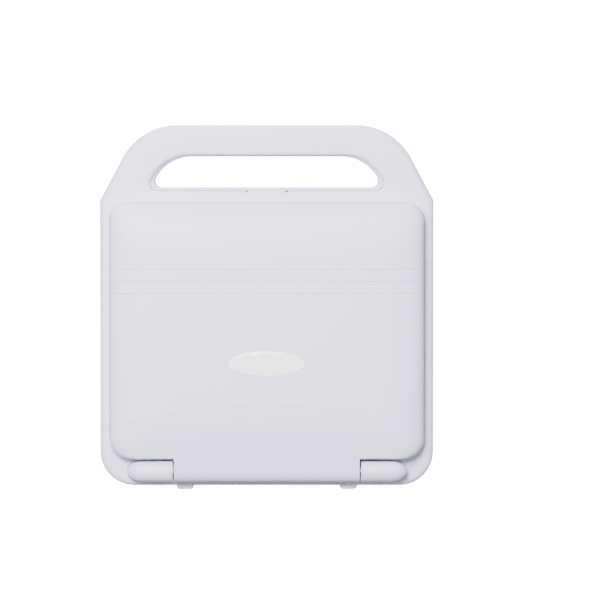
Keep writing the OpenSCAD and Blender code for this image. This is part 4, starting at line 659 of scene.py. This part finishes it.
# Glossy polycarbonate: a cleaner white than the lid, with a small clear highlight along its edge
GLOSS_WHITE = moulded("glossy white polycarbonate", "#fdfcff", 0.22, 3.0, 0.01, vary=0.005, coat=0.4,
                      ior=1.58)
finish(solid("badge", loft(rings)), GLOSS_WHITE, "lid", ["lid_badge"], bevel=0, limit=60)

# The two hinge covers are half barrels of the same ABS with a rounded outer tip, clipped over the steel
# brackets; they hide the pins on which the lid turns.
BRACKET_LEN, BRACKET_BORE = 28, 6.8
TIP_ANGLES = (8, 16, 24, 32, 40, 48, 56, 64, 71, 78, 84, 88)
stations = [(COVER_START, 1), (tip_x, 1)]
stations += [(tip_x + COVER_TIP * sin(radians(a)), cos(radians(a))) for a in TIP_ANGLES]
for side, name in ((-1, "left"), (1, "right")):
    rings = []
    for x, size in stations:
        half = [(HINGE_Y + HINGE_R * size * cos(radians(a)), HINGE_Z + HINGE_R * size * sin(radians(a)))
                for a in range(90, 271, 6)]
        back = [(RIM_Y, HINGE_Z - HINGE_R * size), (RIM_Y, HINGE_Z + HINGE_R * size)]
        rings.append([(side * x, y, z) for y, z in half + back])
    hood = solid(f"hinge_hood_{name}", loft(rings))
    reach = sorted((side * (COVER_START - OVER), side * (COVER_START + BRACKET_LEN)))
    carve(hood, rod((HINGE_Y, HINGE_Z), BRACKET_BORE, "x", *reach, 48),
          box(reach, (HINGE_Y, RIM_Y + OVER), BRACKET_Z))
    finish(hood, WHITE_ABS, "base", [f"hinge_cover_{name}"], bevel=0.4)


# The two feet on which the closed machine stands are moulded in grey rubber and plugged into the hinge
# end. They narrow a little towards the floor.
def rubber(name, hex_value):
    """Moulded rubber: matt, with fine speckle."""
    return moulded(name, hex_value, 0.78, 0.7, 0.25, vary=0.05, ior=1.52)


# Grey rubber: a dull, slightly bluish foot that takes no clear highlight
FOOT_RUBBER = rubber("grey moulded rubber", "#d3d7dc")
FOOT_HALF_W, FOOT_R = 8.5, 3.0
FOOT_PROFILE = ((CASE_LOW + 0.4, 0), (CASE_LOW - 1, 0.1), (0.8, 1.1), (0.25, 1.5), (0, 2.2))
stand_lo, stand_hi = limits("stand_feet")
for side, name, nodes in ((-1, "left", ["stand_feet"]), (1, "right", [])):
    foot_x = side * (stand_hi.x - FOOT_HALF_W)
    rings = []
    for z, inset in FOOT_PROFILE:
        sole = rounded(widened(foot_x - FOOT_HALF_W, foot_x + FOOT_HALF_W, -inset),
                       widened(stand_lo.y, stand_hi.y, -inset), FOOT_R)
        rings.append([(x, y, z) for x, y in sole])
    finish(solid(f"standing_foot_{name}", loft(rings)), FOOT_RUBBER, "base", nodes, bevel=0,
           limit=50)


# The feet for the desk and the small bumpers that keep the closed lid off the rim are dark rubber
# buttons, moulded and pressed into the case and the bezel.
def dressed(node, material, slot, bevel, segments=2):
    """A constructed piece with merged faces, softened edges and its real finish."""
    source = frame["nodes"][node].data
    mesh = bmesh.new()
    for corner in source.vertices:
        mesh.verts.new(corner.co / MM)
    mesh.verts.ensure_lookup_table()
    for face in source.polygons:
        mesh.faces.new([mesh.verts[i] for i in face.vertices])
    bmesh.ops.remove_doubles(mesh, verts=mesh.verts, dist=0.002)
    bmesh.ops.dissolve_limit(mesh, angle_limit=radians(0.5), verts=mesh.verts, edges=mesh.edges)
    body = frame["nodes"][node]["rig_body"]
    return finish(solid(f"{node}_piece", mesh), material, body, [node], bevel, segments=segments)


# Dark rubber: near black and matt, so that the feet read as soft discs
DARK_RUBBER = rubber("dark moulded rubber", "#232529")
dressed("desk_feet", DARK_RUBBER, "rubber", 0.9, segments=3)
dressed("lid_bumpers", DARK_RUBBER, "rubber", 0.4)

# The control panel is one grey ABS moulding with a window for each key, screwed in from behind. The ring
# holds the ball down in it, and a bezel of the same plastic closes the back of the lid round the screen.
# Grey ABS: a mid grey, satin and grained, that sets off the light keys
GREY_ABS = moulded("grey moulded ABS", "#535861", 0.5, 0.8, 0.15)
dressed("control_panel", GREY_ABS, "deck", 0.25)
dressed("trackball_ring", GREY_ABS, "deck", 0.5)
dressed("lid_bezel", GREY_ABS, "deck", 0.4)

# The battery is a block of cells in a dark ABS shell. A white door closes its bay, and a grey ribbed
# slide at its edge is pushed with the thumb to let the door go.
# Dark ABS: nearly black with a low sheen, so that the inside falls into shadow
DARK_ABS = moulded("dark moulded ABS", "#131519", 0.42, 0.8, 0.15)
dressed("battery_pack", DARK_ABS, "dark_plastic", 0.8)
dressed("battery_door", WHITE_ABS, "shell", 0.35)
dressed("battery_latch", GREY_ABS, "deck", 0.3)

# The probe plugs into a dark ABS frame in one side of the case, and a grey slide above locks its plug.
# The cable sockets of the other side sit in a plate of the same dark plastic, held from the inside.
dressed("probe_socket", DARK_ABS, "dark_plastic", 0.4)
dressed("probe_lock", GREY_ABS, "deck", 0.3)
dressed("port_panel", DARK_ABS, "dark_plastic", 0.2)

# The fan, the speaker and the cup in which the ball rolls are moulded in dark ABS and screwed to the case
# and the panel. The fan draws air in at the side slots.
dressed("fan_frame", DARK_ABS, "dark_plastic", 0.3)
dressed("fan_rotor", DARK_ABS, "dark_plastic", 0.15)
dressed("speaker", DARK_ABS, "dark_plastic", 0.4)
dressed("trackball_cup", DARK_ABS, "dark_plastic", 0.2)

# The latch button is a bar of the white ABS of the case. It slides down in the lip under the hand opening
# and frees the tongue of the lid.
dressed("latch_slider", WHITE_ABS, "shell", 0.5)

# The gain knob and the six gain sliders are dark ABS mouldings, pushed on to the shaft of the encoder and
# the levers of the tracks.
dressed("gain_knob", DARK_ABS, "dark_plastic", 0.5)
for i in range(1, 7):
    dressed(f"gain_slider_{i}", DARK_ABS, "dark_plastic", 0.5)

# The keys are satin ABS caps with tapered sides and a dished top. A flange under the panel keeps each one
# in. The caps of a row or block are alike, so Geometry Nodes set them out. Satin ABS shows a soft streak
# of light along each edge:
# white for the letters, so that they stand out on the panel
KEY_WHITE = moulded("satin white key ABS", "#d2d4da", 0.38, 0.5, 0.06)
# grey for functions and modes, a shade lighter than the panel
KEY_GREY = moulded("satin grey key ABS", "#7d838f", 0.38, 0.5, 0.06)
# blue for the one key that is found without looking
KEY_BLUE = moulded("satin blue key ABS", "#1f4f92", 0.38, 0.5, 0.06)
LETTER_SIZE, MODE_SIZE, SELECT_SIZE, FREEZE_SIZE = (17.5, 11.5), (20.01, 14.02), (13.92, 25.96), (20.01, 31.9)
FLANGE_T, DISH, CAP_R, LEAST_CAP_R = 1.2, 0.35, 1, 0.5
freeze_lo, freeze_hi = limits("freeze_key")
FLANGE_OVER = (freeze_hi.x - freeze_lo.x - FREEZE_SIZE[0]) / 2


def key_cap(w, h, top, back):
    """One cap with a dished top and the flange that is trapped under the panel."""
    rings = []
    for grow, y in ((FLANGE_OVER, back), (FLANGE_OVER, back - FLANGE_T), (0, back - FLANGE_T),
                    (-0.15, top + 0.9), (-0.4, top + 0.25), (-0.95, top), (-2.2, top + 0.6 * DISH),
                    (-4.2, top + DISH)):
        outline = rounded((-w / 2 - grow, w / 2 + grow), (-h / 2 - grow, h / 2 + grow),
                          max(CAP_R + grow, LEAST_CAP_R), 2)
        rings.append([(x, y, z) for x, z in outline])
    return loft(rings)


for node, counts, size, material, slot in [
        *((f"key_row_{i}", (12, 1), LETTER_SIZE, KEY_WHITE, "keys") for i in range(1, 5)),
        ("function_keys", (7, 1), LETTER_SIZE, KEY_GREY, "keys_dark"),
        ("mode_keys_left", (2, 3), MODE_SIZE, KEY_GREY, "keys_dark"),
        ("mode_keys_right", (3, 1), MODE_SIZE, KEY_GREY, "keys_dark"),
        ("select_keys", (2, 1), SELECT_SIZE, KEY_GREY, "keys_dark"),
        ("freeze_key", (1, 1), FREEZE_SIZE, KEY_BLUE, "accent_blue")]:
    lo, hi = limits(node)
    pitches = [(high - low - side - 2 * FLANGE_OVER) / max(count - 1, 1)
               for low, high, side, count in zip((lo.x, lo.z), (hi.x, hi.z), size, counts)]
    caps = repeated(f"{node}_caps", key_cap(*size, lo.y, hi.y), material, counts, pitches,
                    ((lo.x + hi.x) / 2, 0, (lo.z + hi.z) / 2))
    finish(caps, material, node, [node], bevel=0)

# The power button is a small round ABS cap over its own switch, held under the panel by its flange.
# It has its own colour, so that it isn't pressed for a key.
# Satin green: dull and deep, with the soft highlight of the keys
KEY_GREEN = moulded("satin green key ABS", "#14703a", 0.38, 0.5, 0.06)
dressed("power_button", KEY_GREEN, "accent_green", 0.7, segments=3)

# The trackball is cast in phenolic resin and polished. It rolls in its cup, and comes out for cleaning
# once its ring is off.
# Polished resin: deep red, with a small sharp reflection of each lamp
BALL = moulded("polished phenolic resin", "#7d0f17", 0.1, 2.0, 0.0, vary=0.08, coat=0.6, ior=1.6)
dressed("trackball", BALL, "ball", 0)


# The arms, pins and brackets of the hinge, the tongue and springs of the latch and all screws are steel,
# pressed, turned or wound and then zinc plated. They carry the load between the plastic mouldings.
def metal(name, hex_value, rough, brush_mm):
    """Metal with faint brushing or plating marks."""
    material, tree, place = new_material(name)
    marks = put(tree, "ShaderNodeTexNoise", {"Vector": place, "Scale": 1 / (brush_mm * MM), "Detail": 4.0})
    gloss = put(tree, "ShaderNodeMapRange", {"Value": marks.outputs["Fac"], "To Min": rough - 0.1,
                                             "To Max": rough + 0.1})
    bump = put(tree, "ShaderNodeBump", {"Height": marks.outputs["Fac"], "Strength": 0.08,
                                        "Distance": brush_mm * MM * 0.1})
    shader = put(tree, "ShaderNodeBsdfPrincipled", {"Base Color": colour(hex_value), "Metallic": 1.0,
                                                    "Roughness": gloss.outputs[0], "Normal": bump.outputs[0]})
    put(tree, "ShaderNodeOutputMaterial", {"Surface": shader.outputs[0]})
    return material


# Zinc plating: a light, slightly cloudy metal with a blurred reflection
STEEL = metal("zinc-plated steel", "#b4b6ba", 0.36, 1.5)
for node in ("hinge_brackets", "housing_screws", "latch_springs", "latch_tongue", "hinge_arms", "hinge_pins",
             "lid_screws"):
    dressed(node, STEEL, "steel", 0.2)

# The cable sockets, the encoder under the gain knob and the tracks of the sliders are bought-in parts in
# folded steel cans, soldered to their boards.
for node in ("port_connectors", "gain_encoder", "slider_tracks"):
    dressed(node, STEEL, "steel", 0.2)

# The earth stud in the side of the case is turned from brass and gold plated. It takes the plug of an
# earth lead.
# Gold plating: warm yellow, the one bright spot of that side
GOLD = metal("gold-plated brass", "#d2a94e", 0.3, 1.0)
dressed("earth_stud", GOLD, "brass", 0.3)

# The heat sink is sawn from an aluminium extrusion, fins and all, and clamped over the warm chips of a
# board, in the stream of air from the fan.
# Extruded aluminium: pale and fairly dull, with fine marks of the die
ALUMINIUM = metal("extruded aluminium", "#b9bcc1", 0.42, 0.8)
dressed("heat_sink", ALUMINIUM, "aluminium", 0.2)

# The circuit boards are sheets of glass-epoxy laminate with their copper under a green solder resist.
# They are screwed down inside the base and the lid.
# Solder resist: a thin glossy lacquer, green and a little blotchy where copper lies under it
PCB = moulded("green solder resist", "#2f6b45", 0.32, 2.5, 0.15, vary=0.12, coat=0.2)
for node in ("main_board", "front_end_board", "power_board", "key_board", "backlight_board"):
    dressed(node, PCB, "board", 0.15)

# The screen is a display module in a pressed steel frame, behind a window of etched glass that is glued
# into the bezel.
# Pressed steel: bare and grey, seen only where the lid is open to view
PANEL = metal("pressed steel frame", "#9a9da2", 0.4, 1.2)
dressed("display_panel", PANEL, "panel_steel", 0.3)
# Etched glass: black with a slightly blurred reflection of the room
GLASS = moulded("etched dark glass", "#06080a", 0.14, 0.6, 0.02, vary=0.0, coat=0.3, ior=1.52)
dressed("screen_window", GLASS, "glass", 0.15)

# The machine stands near the front edge of a pale bench top, so that the lid can open down past it. Both
# bench and room are burnt out to white where the camera sees them, as in the photograph.
BENCH_FRONT_Y, BENCH_BACK_Y, BENCH_HALF_W, BENCH_DEPTH = -11, 3500, 3000, 700
CAMERA_WHITE = 18
bench = solid("bench_top", box((-BENCH_HALF_W, BENCH_HALF_W), (BENCH_FRONT_Y, BENCH_BACK_Y),
                               (-BENCH_DEPTH, 0)))
# Pale laminate: a faint light from below on the feet and the hinge end
material, tree, place = new_material("pale laminate")
speckle = put(tree, "ShaderNodeTexNoise", {"Vector": place, "Scale": 1 / (4 * MM)})
tint = put(tree, "ShaderNodeMapRange", {"Value": speckle.outputs["Fac"], "To Min": 0.55, "To Max": 0.6})
laminate = put(tree, "ShaderNodeBsdfPrincipled", {"Base Color": colour("#b9b9be"),
                                                  "Roughness": tint.outputs[0]})
white = put(tree, "ShaderNodeEmission", {"Color": (1, 1, 1, 1), "Strength": CAMERA_WHITE})
seen = put(tree, "ShaderNodeLightPath")
mixed = put(tree, "ShaderNodeMixShader", {0: seen.outputs["Is Camera Ray"], 1: laminate.outputs[0],
                                          2: white.outputs[0]})
put(tree, "ShaderNodeOutputMaterial", {"Surface": mixed.outputs[0]})
bench.data.materials.append(material)

# A white room, brighter above than below, and four soft lamps: the key is large and stands to the
# upper left of the camera, so the right-hand edges fall away into a light grey.
world = bpy.data.worlds.new("white room")
bpy.context.scene.world = world
world.use_nodes = True
tree = world.node_tree
tree.nodes.clear()
way = put(tree, "ShaderNodeTexCoord").outputs["Generated"]
parts = put(tree, "ShaderNodeSeparateXYZ", {0: way}).outputs
level = put(tree, "ShaderNodeMapRange", {"Value": parts["Z"], "From Min": -0.5, "From Max": 1.0,
                                         "To Min": 0.35, "To Max": 1.25})
lean = put(tree, "ShaderNodeMapRange", {"Value": parts["X"], "From Min": -1.0, "From Max": 1.0,
                                        "To Min": 1.0, "To Max": 0.7})
aside = put(tree, "ShaderNodeMath", {0: parts["X"], 1: parts["X"]}, operation="MULTIPLY")
dimmer = put(tree, "ShaderNodeMapRange", {"Value": aside.outputs[0], "To Min": 1.0, "To Max": 0.35})
product = put(tree, "ShaderNodeMath", {0: level.outputs[0], 1: lean.outputs[0]}, operation="MULTIPLY")
product = put(tree, "ShaderNodeMath", {0: product.outputs[0], 1: dimmer.outputs[0]}, operation="MULTIPLY")
room = put(tree, "ShaderNodeBackground", {"Color": (0.975, 0.97, 1, 1), "Strength": product.outputs[0]})
white = put(tree, "ShaderNodeBackground", {"Color": (1, 1, 1, 1), "Strength": CAMERA_WHITE})
seen = put(tree, "ShaderNodeLightPath")
mixed = put(tree, "ShaderNodeMixShader", {0: seen.outputs["Is Camera Ray"], 1: room.outputs[0],
                                          2: white.outputs[0]})
put(tree, "ShaderNodeOutputWorld", {"Surface": mixed.outputs[0]})
TARGET = Vector((0, -0.03, 0.1812))
# Each lamp: name, place and size in metres, power in watts
for name, place, size, power in (("key", (-0.42, -2.1, 0.95), (0.9, 0.9), 165),
                                 ("strip", (-1.35, -1.5, 0.4), (0.1, 1.7), 9),
                                 ("fill", (1.4, -1.8, 0.3), (1.0, 1.0), 8),
                                 ("top", (-0.3, 0.3, 1.9), (1.2, 1.2), 38)):
    lamp = bpy.data.lights.new(name, "AREA")
    lamp.shape, lamp.size, lamp.size_y = "RECTANGLE", *size
    lamp.energy, lamp.color = power, (0.985, 0.98, 1)
    light = bpy.data.objects.new(name, lamp)
    light.location = place
    light.rotation_euler = (TARGET - Vector(place)).to_track_quat("-Z", "Y").to_euler()
    bpy.context.scene.collection.objects.link(light)

# The photograph is taken from straight in front, a little above, with the machine left of the middle.
# Distance in metres, rise in degrees, size of a pixel at the machine, and the shift of the machine
VIEW_DISTANCE, VIEW_RISE, PIXEL_M, OFFSET_PIXELS = 3.0, 2.0, 0.0009525, (33.2, 2.0)
camera = bpy.data.cameras.new("photograph")
camera.lens = camera.sensor_width * VIEW_DISTANCE / (600 * PIXEL_M)
camera.shift_x, camera.shift_y = (offset / 600 for offset in OFFSET_PIXELS)
eye = bpy.data.objects.new("photograph", camera)
eye.location = TARGET + Vector((0, -cos(radians(VIEW_RISE)), sin(radians(VIEW_RISE)))) * VIEW_DISTANCE
eye.rotation_euler = (TARGET - eye.location).to_track_quat("-Z", "Y").to_euler()
bpy.context.scene.collection.objects.link(eye)
bpy.context.scene.camera = eye
